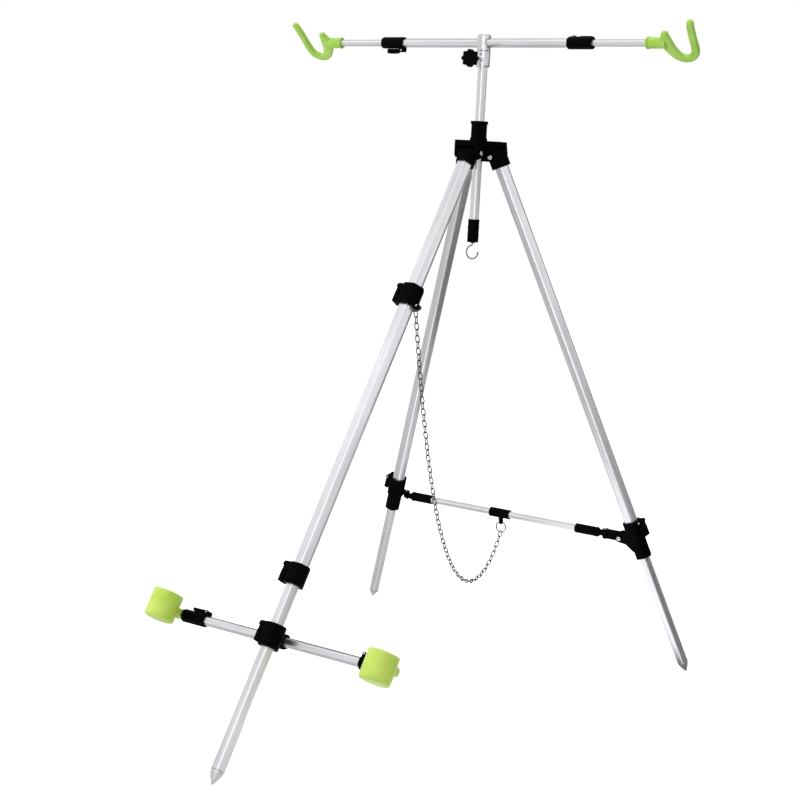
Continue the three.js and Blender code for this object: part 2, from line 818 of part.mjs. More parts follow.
function buildChainCollar() {
  const body = clampBody(chainCollar).rotateZ(Math.PI);
  const ears = [-1, 1].map((side) => alongY(rod(lugRadius, -lugThickness / 2, lugThickness / 2, 12))
    .translate(lugSide, side * lugThickness, -lugDown));
  const roots = [-1, 1].map((side) => box(
    at(lugSide - 2 * lugRadius, side * lugThickness - lugThickness / 2, -lugDown),
    at(lugSide, side * lugThickness + lugThickness / 2, -lugDown + lugRadius),
  ));
  const pin = alongY(rod(ringWire, -lugThickness, lugThickness, 10)).translate(lugSide, 0, -lugDown);
  const slot = box(
    at(lugSide - smallRingRadius - 2 * ringWire, -lugThickness / 2, -lugDown - 2 * lugThickness),
    at(lugSide + 2 * lugThickness, lugThickness / 2, -lugDown + lugThickness + ringWire),
  );
  return join(cut(
    join(body, ...ears, ...roots),
    slot,
    hexBar(frontTubeAcross + 2 * seatGap, tubeRounding, -chainCollarLength - cutOverrun, cutOverrun),
  ), pin);
}

// Collar on the lower front tube that also holds the butt bar behind it
function buildButtCollar() {
  const body = clampBody(buttCollar).rotateZ(Math.PI);
  const drop = buttBarStation - buttCollarTop;
  const crossOuter = buttTubeAcross + 2 * (seatGap + clampWall + tubeWall);
  const half = buttBarSleeve / 2;
  const bridgeHalf = half - cutOverrun;
  const cross = alongX(hexBody(crossOuter, -half, half)).translate(0, buttBarBehind, -drop);
  const bridge = box(
    at(-bridgeHalf, 0, -drop - crossOuter / 2),
    at(bridgeHalf, buttBarBehind, -drop + crossOuter / 2),
  );
  const bore = alongX(hexBar(buttTubeAcross + 2 * seatGap, barRounding, -half - cutOverrun, half + cutOverrun))
    .translate(0, buttBarBehind, -drop);
  return cut(
    join(body, cross, bridge),
    bore,
    hexBar(frontLowerAcross + 2 * seatGap, tubeRounding, -buttCollarLength - cutOverrun, cutOverrun),
  );
}

// Bracket at the foot of a rear tube: leg lock with its lever outside, brace fitting inside.
// The brace fittings are drawn level, with the leg's axis at the brace's height as origin.
function buildArms() {
  const outline = new THREE.Shape();
  const root = rearTubeAcross / 4;
  outline.moveTo(-root, armRadius * 2);
  outline.lineTo(-screwInset * 0.62, armRadius * 1.15);
  outline.absarc(-screwInset, 0, armRadius, Math.PI / 2, 1.5 * Math.PI);
  outline.lineTo(-screwInset * 0.62, -armRadius * 1.2);
  outline.lineTo(-root, -armRadius * 2.6);
  const plate = new THREE.Shape(outline.getPoints(5));
  const inner = linkThickness / 2 + turnGap;
  const screwHole = rod(linkScrewRadius + seatGap, -rearTubeAcross, rearTubeAcross, 12);
  const hole = alongY(screwHole).translate(-screwInset, 0, 0);
  return [-1, 1].map((side) => cut(
    standPlate(plate, armThickness).translate(0, side * (inner + armThickness / 2), 0),
    hole,
  ));
}

function buildClevis() {
  const top = forkHeight / 2;
  const ear = join(
    rod(forkRadius, top - clevisEar, top, 14).translate(clevisInset, 0, 0),
    box(at(0, -forkRadius, top - clevisEar), at(clevisInset, forkRadius, top)),
  );
  const rib = new THREE.Shape([
    new THREE.Vector2(0, top + forkRadius * 2),
    new THREE.Vector2(0, top - clevisEar / 2),
    new THREE.Vector2(clevisInset, top - clevisEar / 2),
    new THREE.Vector2(clevisInset - forkRadius / 2, top + boltHeadHeight / 2),
    new THREE.Vector2(clevisInset - forkRadius * 1.4, top + forkRadius / 2),
  ]);
  const bolt = join(
    rod(boltRadius, -top, top + boltHeadHeight, 12),
    rod(boltHead, top - clevisEar / 2, top + boltHeadHeight, 12),
  ).translate(clevisInset, 0, 0);
  return [join(ear, standPlate(rib, armThickness), bolt)];
}

function buildBracket(side) {
  const upper = bracketStep - bracketTop;
  const lowerOuter = rearLowerAcross + 2 * (seatGap + bracketLowerWall);
  const full = clampBody(bracket);
  const keep = join(
    box(at(-rearTubeAcross, -rearTubeAcross, -upper), at(2 * rearTubeAcross, rearTubeAcross, cutOverrun)),
    hexBody(lowerOuter, -bracket.length - cutOverrun, 0),
  );
  const body = common(full, keep);
  const fittings = side > 0 ? buildArms() : buildClevis().map((fitting) => fitting.rotateZ(Math.PI));
  const placed = fittings.map((fitting) => fitting.rotateY(rearSplay).translate(0, 0, bracketTop - braceStation));
  const bores = [
    hexBar(rearTubeAcross + 2 * seatGap, tubeRounding, -bracket.seat, cutOverrun),
    hexBar(rearLowerAcross + 2 * seatGap, barRounding, -bracket.length - cutOverrun, cutOverrun),
  ];
  const whole = cut(join(body, ...placed), ...bores);
  return side > 0 ? whole : whole.rotateZ(Math.PI);
}

// Brace pieces in the brace's frame: origin on the hinge screw, the tube towards -X
const braceSpan = 2 * (rearPivotSide + braceStation * Math.sin(rearSplay)) - screwInset - clevisInset;
const sleeveOuter = braceAcross + 2 * (seatGap + braceSleeveWall);

function buildLink() {
  const half = linkThickness / 2;
  const top = forkHeight / 2;
  const gap = tangHeight / 2 + seatGap;
  const eye = alongY(rod(linkRadius, -half, half, 14));
  const block = box(at(-linkLength, -half, -top), at(-linkRadius / 2, half, top));
  const nose = rod(forkRadius, -top, top, 14).translate(-linkLength, 0, 0);
  const throat = box(
    at(-linkLength - linkRadius, -linkRadius, -gap),
    at(-linkLength + tangRadius + turnGap, linkRadius, gap),
  );
  const bolt = join(
    rod(boltRadius, -top, top, 12),
    rod(boltHead, top - cutOverrun, top + boltHeadHeight, 12),
  ).translate(-linkLength, 0, 0);
  const screwHalf = half + turnGap + armThickness + turnGap;
  const screw = alongY(join(
    rod(linkScrewRadius, -screwHalf, screwHalf, 12),
    rod(linkScrewHead, screwHalf, screwHalf + linkScrewHeadHeight, 12),
    rod(linkScrewHead, -screwHalf - linkScrewHeadHeight, -screwHalf, 12),
  ));
  return join(cut(join(eye, block, nose), throat), bolt, screw);
}

// Sleeve on the end of the brace tube, narrowing to a flat tang; its tang's eye is the origin
function buildBraceEnd(tangLow, tangHigh, slot) {
  const tangHalf = tangRadius;
  const start = braceSleeveNeck;
  const end = start + braceSleeveLength;
  const sleeve = alongX(hexBody(sleeveOuter, start + sleeveOuter / 3, end));
  const taper = new THREE.CylinderGeometry(sleeveOuter / Math.sqrt(3) * 0.97, tangHalf, sleeveOuter / 3, 12)
    .rotateZ(-Math.PI / 2)
    .translate(start + sleeveOuter / 6, 0, 0);
  const tang = join(
    box(at(0, -tangHalf, tangLow), at(start + sleeveOuter / 3, tangHalf, tangHigh)),
    rod(tangHalf, tangLow, tangHigh, 14),
  );
  const hole = join(
    rod(boltRadius + seatGap, tangLow - cutOverrun, tangHigh + cutOverrun, 12),
    box(
      at(0, -boltRadius - seatGap, tangLow - cutOverrun),
      at(slot, boltRadius + seatGap, tangHigh + cutOverrun),
    ),
  );
  const bore = alongX(hexBar(braceAcross + 2 * seatGap, barRounding, end - braceTubeGrip, end + cutOverrun));
  return cut(join(sleeve, taper, tang), hole, bore);
}

function buildClip() {
  const outer = braceAcross + 2 * (seatGap + clipWall);
  const half = clipLength / 2;
  const drop = outer / 2 + lugDrop;
  const lug = box(at(-lugThickness / 2, -lugWidth / 2, lugWidth / 2 - drop), at(lugThickness / 2, lugWidth / 2, 0));
  const tip = alongX(rod(lugWidth / 2, -lugThickness / 2, lugThickness / 2, 12)).translate(0, 0, lugWidth / 2 - drop);
  const hole = alongX(rod(lugHole, -lugThickness, lugThickness, 10)).translate(0, 0, lugWidth / 2 - drop);
  return cut(
    join(alongX(hexBody(outer, -half, half)), lug, tip),
    hole,
    alongX(hexBar(braceAcross + 2 * seatGap, barRounding, -half - cutOverrun, half + cutOverrun)),
    box(at(-half - cutOverrun, 0, -clipMouth / 2), at(half + cutOverrun, outer, clipMouth / 2)),
  );
}

// Ring of round wire standing in the X and Z plane, hanging below its origin
function buildRing(radius) {
  return new THREE.TorusGeometry(radius, ringWire, 6, 14).rotateX(Math.PI / 2).translate(0, 0, -radius);
}

// Chain: oval links of round wire, each a quarter turn from the last, along a catenary
const chainPitch = chainLinkLength - 4 * chainWire + chainTouch;

function buildLinkOfChain() {
  const around = 8;
  const bend = chainLinkWidth / 2 - chainWire;
  const link = new THREE.TorusGeometry(bend, chainWire, 4, around);
  const spread = chainLinkLength / 2 - chainLinkWidth / 2;
  const position = link.attributes.position;
  for (let i = 0; i < position.count; i += 1) {
    position.setX(i, position.getX(i) + Math.sign(position.getX(i)) * spread);
  }
  return link;
}

function catenary(from, to, run) {
  const flat = Math.hypot(to.x - from.x, to.y - from.y);
  const fall = to.z - from.z;
  const reach = Math.sqrt(run * run - fall * fall);
  let [low, high] = [flat / 40, flat * 40];
  for (let turn = 0; turn < 80; turn += 1) {
    const middle = Math.sqrt(low * high);
    const length = 2 * middle * Math.sinh(flat / (2 * middle));
    [low, high] = length > reach ? [middle, high] : [low, middle];
  }
  const slack = low;
  const lowest = flat / 2 - slack * Math.atanh(fall / run);
  const startArc = slack * Math.sinh(-lowest / slack);
  const floor = from.z - slack * Math.cosh(lowest / slack);
  const heading = at((to.x - from.x) / flat, (to.y - from.y) / flat, 0);
  return (travelled) => {
    const ahead = slack * Math.asinh((startArc + travelled) / slack);
    const place = heading.clone().multiplyScalar(ahead + lowest).add(at(from.x, from.y, 0));
    place.z = floor + slack * Math.cosh(ahead / slack);
    const tangent = heading.clone().addScaledVector(up, Math.sinh(ahead / slack)).normalize();
    return { place, tangent, across: at(-heading.y, heading.x, 0) };
  };
}

function buildChain(from, to, splits) {
  const breaks = splits.length - 2;
  const first = chainLinkLength / 2 - 2 * chainWire - ringWire - seatGap;
  const slip = chainTouch + seatGap;
  const run = 2 * first + (chainLinks - 1) * chainPitch - breaks * slip;
  const along = catenary(from, to, run);
  const model = buildLinkOfChain();
  const stretches = [];
  for (let part = 0; part + 1 < splits.length; part += 1) {
    const links = [];
    for (let index = splits[part]; index < splits[part + 1]; index += 1) {
      const travelled = first + index * chainPitch - part * slip;
      const { place, tangent, across } = along(travelled);
      const side = tangent.clone().cross(across);
      const lateral = index % 2 === 0 ? side : across;
      const normal = tangent.clone().cross(lateral);
      const frame = new THREE.Matrix4().makeBasis(tangent, lateral, normal).setPosition(place);
      links.push(model.clone().applyMatrix4(frame));
    }
    stretches.push(join(...links));
  }
  return stretches;
}

// Head: crown, column with its collar, end cap and hook, tee, cross bar and rests
piece('crown', buildCrown(), blackPlastic, head);
piece('column_collar', buildGuide(), blackPlastic, head);
const columnTube = hexTube(columnAcross, tubeRounding, -columnBottomDrop, columnTopReach);
piece('column_tube', columnTube, brushedAluminium, head);
piece('column_end_cap', buildEndCap(), blackPlastic, head);
piece('column_hook', buildHook(), polishedSteel, head);
piece('tee_lower', buildTeeLower(), brushedAluminium, head);
piece('star_knob', buildKnob(), blackPlastic, head);
piece('tee_upper', buildTeeUpper(), brushedAluminium, head);

const crossBar = new THREE.Group();
crossBar.position.z = crossBarReach;
head.add(crossBar);
const crossTube = alongX(hexTube(crossTubeAcross, barRounding, -crossTubeEnd, crossTubeEnd));
piece('crossbar_tube', crossTube, brushedAluminium, crossBar);

const sides = [['left', -1], ['right', 1]];
for (const [name, side] of sides) {
  const crossRod = barPiece(hexBar(crossRodAcross, barRounding, crossRodInner, crossRodEnd), side);
  const crossBody = onBar(clampBody(crossClamp), side, crossClampStart, crossLeverTurns[name]);
  const crossFlip = onBar(clampLever(crossClamp), side, crossClampStart, crossLeverTurns[name]);
  piece(`crossbar_clamp_${name}`, crossBody, blackPlastic, crossBar);
  piece(`crossbar_lever_${name}`, crossFlip, blackPlastic, crossBar);
  piece(`crossbar_rod_${name}`, crossRod, brushedAluminium, crossBar);
  piece(`rod_rest_${name}`, buildRest(side), limePlastic, crossBar);
}

// Front leg with its chain collar, lock, lower tube, spike, and the butt bar with its cups
const tubeTop = -socketTop - socketPlug - seatGap;
const frontSocket = buildSocket(frontTubeAcross, socketWall, frontBarrelHalf, barrelRadius, alongX);
const frontTube = hexTube(frontTubeAcross, tubeRounding, -frontTubeEnd, tubeTop);
const frontLowerTube = hexTube(frontLowerAcross, barRounding, -frontSpikeBase, -frontLowerTop);

// A clamp or lever on the front leg faces forwards, with its top at a distance down the leg
function onFrontLeg(geometry, top) {
  return geometry.rotateZ(Math.PI).translate(0, 0, -top);
}

piece('front_leg_socket', frontSocket, blackPlastic, frontLeg);
piece('front_leg_tube', frontTube, brushedAluminium, frontLeg);
piece('chain_collar', buildChainCollar().translate(0, 0, -chainCollarTop), blackPlastic, frontLeg);
piece('chain_collar_lever', onFrontLeg(clampLever(chainCollar), chainCollarTop), blackPlastic, frontLeg);
piece('front_leg_lock', onFrontLeg(clampBody(frontLock), frontLockTop), blackPlastic, frontLeg);
piece('front_leg_lock_lever', onFrontLeg(clampLever(frontLock), frontLockTop), blackPlastic, frontLeg);
piece('front_lower_tube', frontLowerTube, brushedAluminium, frontLeg);
piece('front_spike', buildSpike(frontLowerAcross, frontSpikeBase, frontLength), polishedSteel, frontLeg);
piece('butt_collar', buildButtCollar().translate(0, 0, -buttCollarTop), blackPlastic, frontLeg);
piece('butt_collar_lever', onFrontLeg(clampLever(buttCollar), buttCollarTop), blackPlastic, frontLeg);

const buttBar = new THREE.Group();
buttBar.position.set(0, buttBarBehind, -buttBarStation);
frontLeg.add(buttBar);
const buttTube = alongX(hexTube(buttTubeAcross, barRounding, -buttTubeEnd, buttTubeEnd));
piece('butt_bar_tube', buttTube, brushedAluminium, buttBar);
for (const [name, side] of sides) {
  const buttRod = barPiece(hexBar(buttRodAcross, barRounding, buttRodInner, buttRodEnd), side);
  const buttBody = onBar(clampBody(buttClamp), side, buttClampStart, buttLeverTurns[name]);
  const buttFlip = onBar(clampLever(buttClamp), side, buttClampStart, buttLeverTurns[name]);
  piece(`butt_clamp_${name}`, buttBody, blackPlastic, buttBar);
  piece(`butt_lever_${name}`, buttFlip, blackPlastic, buttBar);
  piece(`butt_rod_${name}`, buttRod, brushedAluminium, buttBar);
  piece(`butt_cup_${name}`, buildCup(name, side), limePlastic, buttBar);
}

// Rear legs
let braceAnchor;
for (const [name, side] of sides) {
  const leg = rearLegFrame(side);
  const leverTurn = side > 0 ? 0 : Math.PI;
  const lever = clampLever(bracket).rotateZ(leverTurn).translate(0, 0, -bracketTop);
  const shoulder = barrelRadius + socketPlug;
  const socket = buildSocket(rearTubeAcross, rearSocketWall, rearBarrelHalf, shoulder, alongY);
  const upperTube = hexTube(rearTubeAcross, tubeRounding, -rearTubeEnd, tubeTop);
  const lowerTube = hexTube(rearLowerAcross, barRounding, -rearSpikeBase, -rearLowerTop);
  piece(`rear_${name}_socket`, socket, blackPlastic, leg);
  piece(`rear_${name}_tube`, upperTube, brushedAluminium, leg);
  piece(`rear_${name}_bracket`, buildBracket(side).translate(0, 0, -bracketTop), blackPlastic, leg);
  piece(`rear_${name}_lever`, lever, blackPlastic, leg);
  piece(`rear_${name}_lower_tube`, lowerTube, brushedAluminium, leg);
  piece(`rear_${name}_spike`, buildSpike(rearLowerAcross, rearSpikeBase, rearLength), polishedSteel, leg);
  leg.updateMatrixWorld(true);
  braceAnchor = leg.localToWorld(at(0, 0, -braceStation));
}

// Brace: link, rod ends, tube and chain clip, with its origin on the right bracket's screw
const brace = new THREE.Group();
brace.position.copy(braceAnchor).add(at(-screwInset, 0, 0));
brace.rotation.x = rearLean;
stand.add(brace);
const tangTop = forkHeight / 2 - clevisEar - seatGap;
const rightEnd = buildBraceEnd(-tangHeight / 2, tangHeight / 2, turnGap)
  .rotateZ(Math.PI)
  .translate(-linkLength, 0, 0);
const leftEnd = buildBraceEnd(tangTop - tangHeight, tangTop, clevisSlot).translate(-braceSpan, 0, 0);
const sleeveEnd = braceSleeveNeck + braceSleeveLength;
const tubeInset = sleeveEnd - braceTubeGrip + seatGap;
const braceBar = alongX(hexTube(braceAcross, barRounding, -braceSpan + tubeInset, -linkLength - tubeInset));
const clipPlace = clipSide - brace.position.x;
piece('brace_link', buildLink(), blackPlastic, brace);
piece('brace_end_right', rightEnd, blackPlastic, brace);
piece('brace_end_left', leftEnd, blackPlastic, brace);
piece('brace_tube', braceBar, brushedAluminium, brace);
piece('brace_clip', buildClip().translate(clipPlace, 0, 0), blackPlastic, brace);

// Chain from the ring on the front leg's collar to the ring on the brace's clip
frontLeg.updateMatrixWorld(true);
brace.updateMatrixWorld(true);
const ringSlack = 2 * ringWire + seatGap;
const ringUpper = new THREE.Group();
ringUpper.position.set(lugSide, 0, ringSlack - chainCollarTop - lugDown);
frontLeg.add(ringUpper);
piece('ring_upper', buildRing(smallRingRadius), polishedSteel, ringUpper);
const lugHang = (braceAcross / 2 + seatGap + clipWall) + lugDrop - lugWidth / 2;
const ringLower = new THREE.Group();
ringLower.position.copy(brace.localToWorld(at(clipPlace, 0, -lugHang)));
stand.add(ringLower);
piece('ring_lower', buildRing(bigRingRadius), polishedSteel, ringLower);
ringUpper.updateMatrixWorld(true);
const chainFrom = ringUpper.localToWorld(at(0, 0, -2 * smallRingRadius));
const chainTo = ringLower.position.clone().add(at(0, 0, -2 * bigRingRadius));
const stretchNames = ['chain_upper', 'chain_middle', 'chain_lower'];
const splits = [0, ...stretchNames.map((_, part) => Math.round(chainLinks * (part + 1) / stretchNames.length))];
buildChain(chainFrom, chainTo, splits).forEach((stretch, part) => {
  piece(stretchNames[part], stretch, polishedSteel, stand);
});

// Stand the part on the ground with its bounding box centred on the origin
const bounds = new THREE.Box3().setFromObject(stand, true);
const centre = bounds.getCenter(at(0, 0, 0));
stand.position.set(-centre.x, -centre.y, -bounds.min.z);
const group = new THREE.Group();
group.add(stand);

export default group;
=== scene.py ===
# %% [markdown]
# # A two-rod fishing tripod
# The stand is three telescopic legs on a moulded crown, with a sliding column,
# a cross bar with two rod rests, a butt bar with two cups, a brace and a chain.
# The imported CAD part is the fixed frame. This lesson gives each of its pieces a
# finish, and swaps the pieces that the eye rests on for finer ones.

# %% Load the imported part
import math

import bmesh
import bpy
from mathutils import Matrix, Vector


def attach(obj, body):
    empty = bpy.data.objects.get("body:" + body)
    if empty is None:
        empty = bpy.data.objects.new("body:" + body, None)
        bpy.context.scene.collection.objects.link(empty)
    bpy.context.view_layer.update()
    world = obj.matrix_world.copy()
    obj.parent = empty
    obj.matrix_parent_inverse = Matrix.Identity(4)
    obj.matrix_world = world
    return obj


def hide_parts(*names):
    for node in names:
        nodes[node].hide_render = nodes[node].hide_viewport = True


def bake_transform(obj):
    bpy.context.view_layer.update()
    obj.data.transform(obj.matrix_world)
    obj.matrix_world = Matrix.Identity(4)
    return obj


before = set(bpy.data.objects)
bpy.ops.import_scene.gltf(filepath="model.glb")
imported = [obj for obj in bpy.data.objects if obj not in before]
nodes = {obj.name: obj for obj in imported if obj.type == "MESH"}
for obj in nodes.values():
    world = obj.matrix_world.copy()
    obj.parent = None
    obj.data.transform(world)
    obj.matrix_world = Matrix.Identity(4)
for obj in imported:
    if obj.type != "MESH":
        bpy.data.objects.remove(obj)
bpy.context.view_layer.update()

# %% [markdown]
# ## The stand's own axes
# The head leans back, the front leg leans forward and the rear legs splay. Each
# of these groups is easiest to draw upright, in millimetres, about its hinge.
# A matrix for each group then puts the finished mesh in its place in metres.

# %% Axes of the head, the legs and the brace
MILLIMETRE = 0.001
FRONT_SHIFT = 266.687
CROWN_HEIGHT = 972
CROWN_LEAN = math.radians(3.8)
FRONT_HINGE, FRONT_FOOT = (0, -29, 0), (0, -735, 0)
REAR_HINGE, REAR_FOOT = (29, 20, 0), (374, 195, 0)
BRACE_DROP, LINK_REACH = 770, 35
CROSS_BAR_RISE = 198.7
BUTT_BAR_BEHIND, BUTT_BAR_DROP = 28, 946
SIDES = (("left", -1), ("right", 1))


def turned(x=0.0, y=0.0, z=0.0):
    return Matrix.Rotation(x, 4, "X") @ Matrix.Rotation(y, 4, "Y") @ Matrix.Rotation(z, 4, "Z")


def moved(x, y, z):
    return Matrix.Translation((x, y, z))


def half_turn(axis, side):
    """Half a turn about one axis for the left side, none for the right one."""
    return turned(**{axis: 0 if side > 0 else math.pi})


STAND = Matrix.Scale(MILLIMETRE, 4) @ moved(0, FRONT_SHIFT, 0)
head_local = moved(0, 0, CROWN_HEIGHT) @ turned(x=-CROWN_LEAN)
front_hinge = head_local @ Vector(FRONT_HINGE)
front_rise = front_hinge - Vector(FRONT_FOOT)
front_lean = -math.atan2(front_rise.y, front_rise.z)
front_local = Matrix.Translation(front_hinge) @ turned(x=front_lean)
rear_hinge = head_local @ Vector(REAR_HINGE)
rear_rise = rear_hinge - Vector(REAR_FOOT)
rear_lean = math.atan2(-rear_rise.y, rear_rise.z)
rear_splay = math.asin(-rear_rise.x / rear_rise.length)


def rear_local(side):
    place = moved(side * rear_hinge.x, rear_hinge.y, rear_hinge.z)
    return place @ turned(x=rear_lean, y=-side * rear_splay)


brace_anchor = rear_local(1) @ Vector((0, 0, -BRACE_DROP)) + Vector((-LINK_REACH, 0, 0))
brace_local = Matrix.Translation(brace_anchor) @ turned(x=rear_lean)

HEAD = STAND @ head_local
CROSS_BAR = HEAD @ moved(0, 0, CROSS_BAR_RISE)
FRONT = STAND @ front_local
BUTT_BAR = FRONT @ moved(0, BUTT_BAR_BEHIND, -BUTT_BAR_DROP)
REAR = {name: STAND @ rear_local(side) for name, side in SIDES}
BRACE = STAND @ brace_local
print("front leg", round(front_rise.length), "mm, rear legs", round(rear_rise.length), "mm")

# %% [markdown]
# ## Writing shader maths as plain sums
# A finish is easier to read as `0.3 + grain * 0.1` than as a web of nodes. This
# small class wraps a socket and turns each sum on it into a Math node. Every
# other node comes from one method, which sets the node up and feeds its sockets.


# %% A socket that can be added and multiplied, and the bench that makes nodes
class Signal:
    def __init__(self, bench, socket):
        self.bench = bench
        self.socket = socket

    def sum_with(self, operation, other, swapped=False):
        pair = (other, self) if swapped else (self, other)
        return self.bench.math(operation, *pair)

    def __add__(self, other):
        return self.sum_with("ADD", other)

    def __radd__(self, other):
        return self.sum_with("ADD", other, True)

    def __sub__(self, other):
        return self.sum_with("SUBTRACT", other)

    def __mul__(self, other):
        return self.sum_with("MULTIPLY", other)

    def __truediv__(self, other):
        return self.sum_with("DIVIDE", other)


class Bench:
    def __init__(self, tree):
        self.tree = tree

    def node(self, kind, settings=None, sockets=None, output=0):
        made = self.tree.nodes.new(kind)
        for key, value in (settings or {}).items():
            if key == "stops":
                self.set_stops(made.color_ramp, value)
            else:
                setattr(made, key, value)
        for key, value in (sockets or {}).items():
            if isinstance(value, Signal):
                self.tree.links.new(value.socket, made.inputs[key])
            else:
                made.inputs[key].default_value = value
        return Signal(self, made.outputs[output]) if output is not None else made

    def set_stops(self, ramp, stops):
        while len(ramp.elements) < len(stops):
            ramp.elements.new(0.5)
        for element, (place, colour) in zip(ramp.elements, stops):
            element.position = place
            element.color = (*colour, 1.0)

    def shape(self, kind, settings=None, **sockets):
        """A geometry node, whose sockets are written in small letters."""
        named = {key.replace("_", " ").title(): value for key, value in sockets.items()}
        return self.node("GeometryNode" + kind, settings, named)

    def math(self, operation, *values):
        return self.node("ShaderNodeMath", {"operation": operation}, dict(enumerate(values)))

    def blend(self, share, first, second):
        """A colour between two; the Mix node keeps its colour sockets at 6 and 7."""
        ends = [end if isinstance(end, Signal) else (*end, 1.0) for end in (first, second)]
        sockets = {0: share, 6: ends[0], 7: ends[1]}
        return self.node("ShaderNodeMix", {"data_type": "RGBA"}, sockets, 2)

    def noise(self, where, scale, detail=3.0, roughness=0.5):
        sockets = {"Vector": where, "Scale": scale, "Detail": detail, "Roughness": roughness}
        return self.node("ShaderNodeTexNoise", {}, sockets)

    def between(self, value, low, high):
        """0 at the low value and 1 at the high one."""
        sockets = {"Value": value, "From Min": low, "From Max": high}
        return self.node("ShaderNodeMapRange", {}, sockets)

    def bump(self, height, strength, distance, **sockets):
        sockets.update(Strength=strength, Distance=distance, Height=height)
        return self.node("ShaderNodeBump", {}, sockets)

    def dot(self, first, second):
        settings = {"operation": "DOT_PRODUCT"}
        return self.node("ShaderNodeVectorMath", settings, {0: first, 1: second}, 1)

    def vector(self, x=0.0, y=0.0, z=0.0):
        return self.node("ShaderNodeCombineXYZ", {}, {0: x, 1: y, 2: z})

    def stretched(self, where, along, keep):
        """Coordinates squeezed along one direction, so that a pattern runs along it."""
        sockets = {0: along, "Scale": self.dot(where, along) * (1.0 - keep)}
        run = self.node("ShaderNodeVectorMath", {"operation": "SCALE"}, sockets)
        return self.node("ShaderNodeVectorMath", {"operation": "SUBTRACT"}, {0: where, 1: run})


def blank_material(name):
    material = bpy.data.materials.new(name)
    material.use_nodes = True
    material.node_tree.nodes.clear()
    return material, Bench(material.node_tree)


def new_finish(name):
    """A blank material, its bench and the object's own coordinates."""
    material, bench = blank_material(name)
    return material, bench, bench.node("ShaderNodeTexCoord", output=3)


def close_finish(bench, sockets):
    surface = bench.node("ShaderNodeBsdfPrincipled", {}, sockets)
    bench.node("ShaderNodeOutputMaterial", {}, {"Surface": surface}, None)


def from_screen(red, green, blue):
    """A screen colour from 0 to 255 as the linear colour that a shader takes."""
    return tuple((value / 255.0) ** 2.2 for value in (red, green, blue))


# %% [markdown]
# ## Anodised aluminium
# The tubes are drawn hexagonal profiles. Drawing leaves fine lines along the
# tube, and anodising dulls them to a satin sheen. A noise that is stretched
# along the tube's own axis gives both. The six rounded corners carry a painted
# highlight, a near-white base colour that stands in for the bright lines they
# mirror: the Bevel node turns the normal from one flat to the next, and the
# cosine of six times its angle about the axis is 1 on a corner and -1 on a flat.


# %% The tube finish, for a tube that runs a given way
DRAWN_TONES = [
    (0.3, from_screen(196, 194, 199)),
    (0.5, from_screen(224, 222, 226)),
    (0.7, from_screen(246, 244, 247)),
]
# Near-white colour of the painted highlight on the tube corners.
PAINTED_CORNER_HIGHLIGHT = from_screen(254, 254, 254)
TUBE_CORNER = 0.0046
GRAIN_DEPTH = 0.0002


def direction(matrix, local):
    return tuple((matrix.to_3x3() @ Vector(local)).normalized())


# The corner mask that places the painted highlight.
def corner_share(bench, rounded, corner, flat):
    turn = {"vector_type": "NORMAL", "convert_from": "WORLD", "convert_to": "OBJECT"}
    normal = bench.node("ShaderNodeVectorTransform", turn, {"Vector": rounded})
    across, up = bench.dot(normal, corner), bench.dot(normal, flat)
    angle = bench.math("ARCTAN2", up, across)
    return bench.between(bench.math("COSINE", angle * 6.0), -0.7, 0.9)


def aluminium(name, place, along, corner, highlight_strength=1.0):
    material, bench, where = new_finish(name)
    length = direction(place, along)
    lines = bench.noise(bench.stretched(where, length, 0.02), 620.0, 4.0, 0.6)
    bands = bench.noise(bench.stretched(where, length, 0.06), 95.0, 2.0)
    clouds = bench.noise(where, 14.0)
    tone = lines * 0.55 + bands * 0.35 + clouds * 0.1
    satin = bench.node("ShaderNodeValToRGB", {"stops": DRAWN_TONES}, {"Fac": tone})
    rounded = bench.node("ShaderNodeBevel", {"samples": 8}, {"Radius": TUBE_CORNER})
    flat = direction(place, (0, 1, 0))
    # Painted highlight: the corner mask blends the satin colour towards near-white.
    wear_and_highlight = corner_share(bench, rounded, direction(place, corner), flat) * highlight_strength
    scratches = bench.between(lines, 0.62, 0.72)
    close_finish(bench, {
        "Base Color": bench.blend(wear_and_highlight, satin, PAINTED_CORNER_HIGHLIGHT),
        "Metallic": 0.95,
        "Roughness": 0.22 + lines * 0.1 + clouds * 0.06 - scratches * 0.04,
        "Normal": bench.bump(lines, 0.12, GRAIN_DEPTH, Normal=rounded),
    })
    return material


upright, level = ((0, 0, 1), (1, 0, 0)), ((1, 0, 0), (0, 0, 1))
column_metal = aluminium("column aluminium", HEAD, *upright)
# The tee gets a weaker painted corner highlight.
tee_metal = aluminium("tee aluminium", HEAD, *upright, highlight_strength=0.35)
cross_metal = aluminium("cross bar aluminium", HEAD, *level)
front_metal = aluminium("front leg aluminium", FRONT, *upright)
butt_metal = aluminium("butt bar aluminium", FRONT, *level)
left_metal = aluminium("rear left leg aluminium", REAR["left"], *upright)
right_metal = aluminium("rear right leg aluminium", REAR["right"], *upright)
brace_metal = aluminium("brace aluminium", BRACE, *level)

# %% [markdown]
# ## Moulded black nylon
# Crown, locks, collars and levers are glass-filled nylon: almost black, slightly
# glossy, with the fine grain of a spark-eroded mould and paler rubbed patches.
# A Bevel node rounds the edges for the light without adding a face.


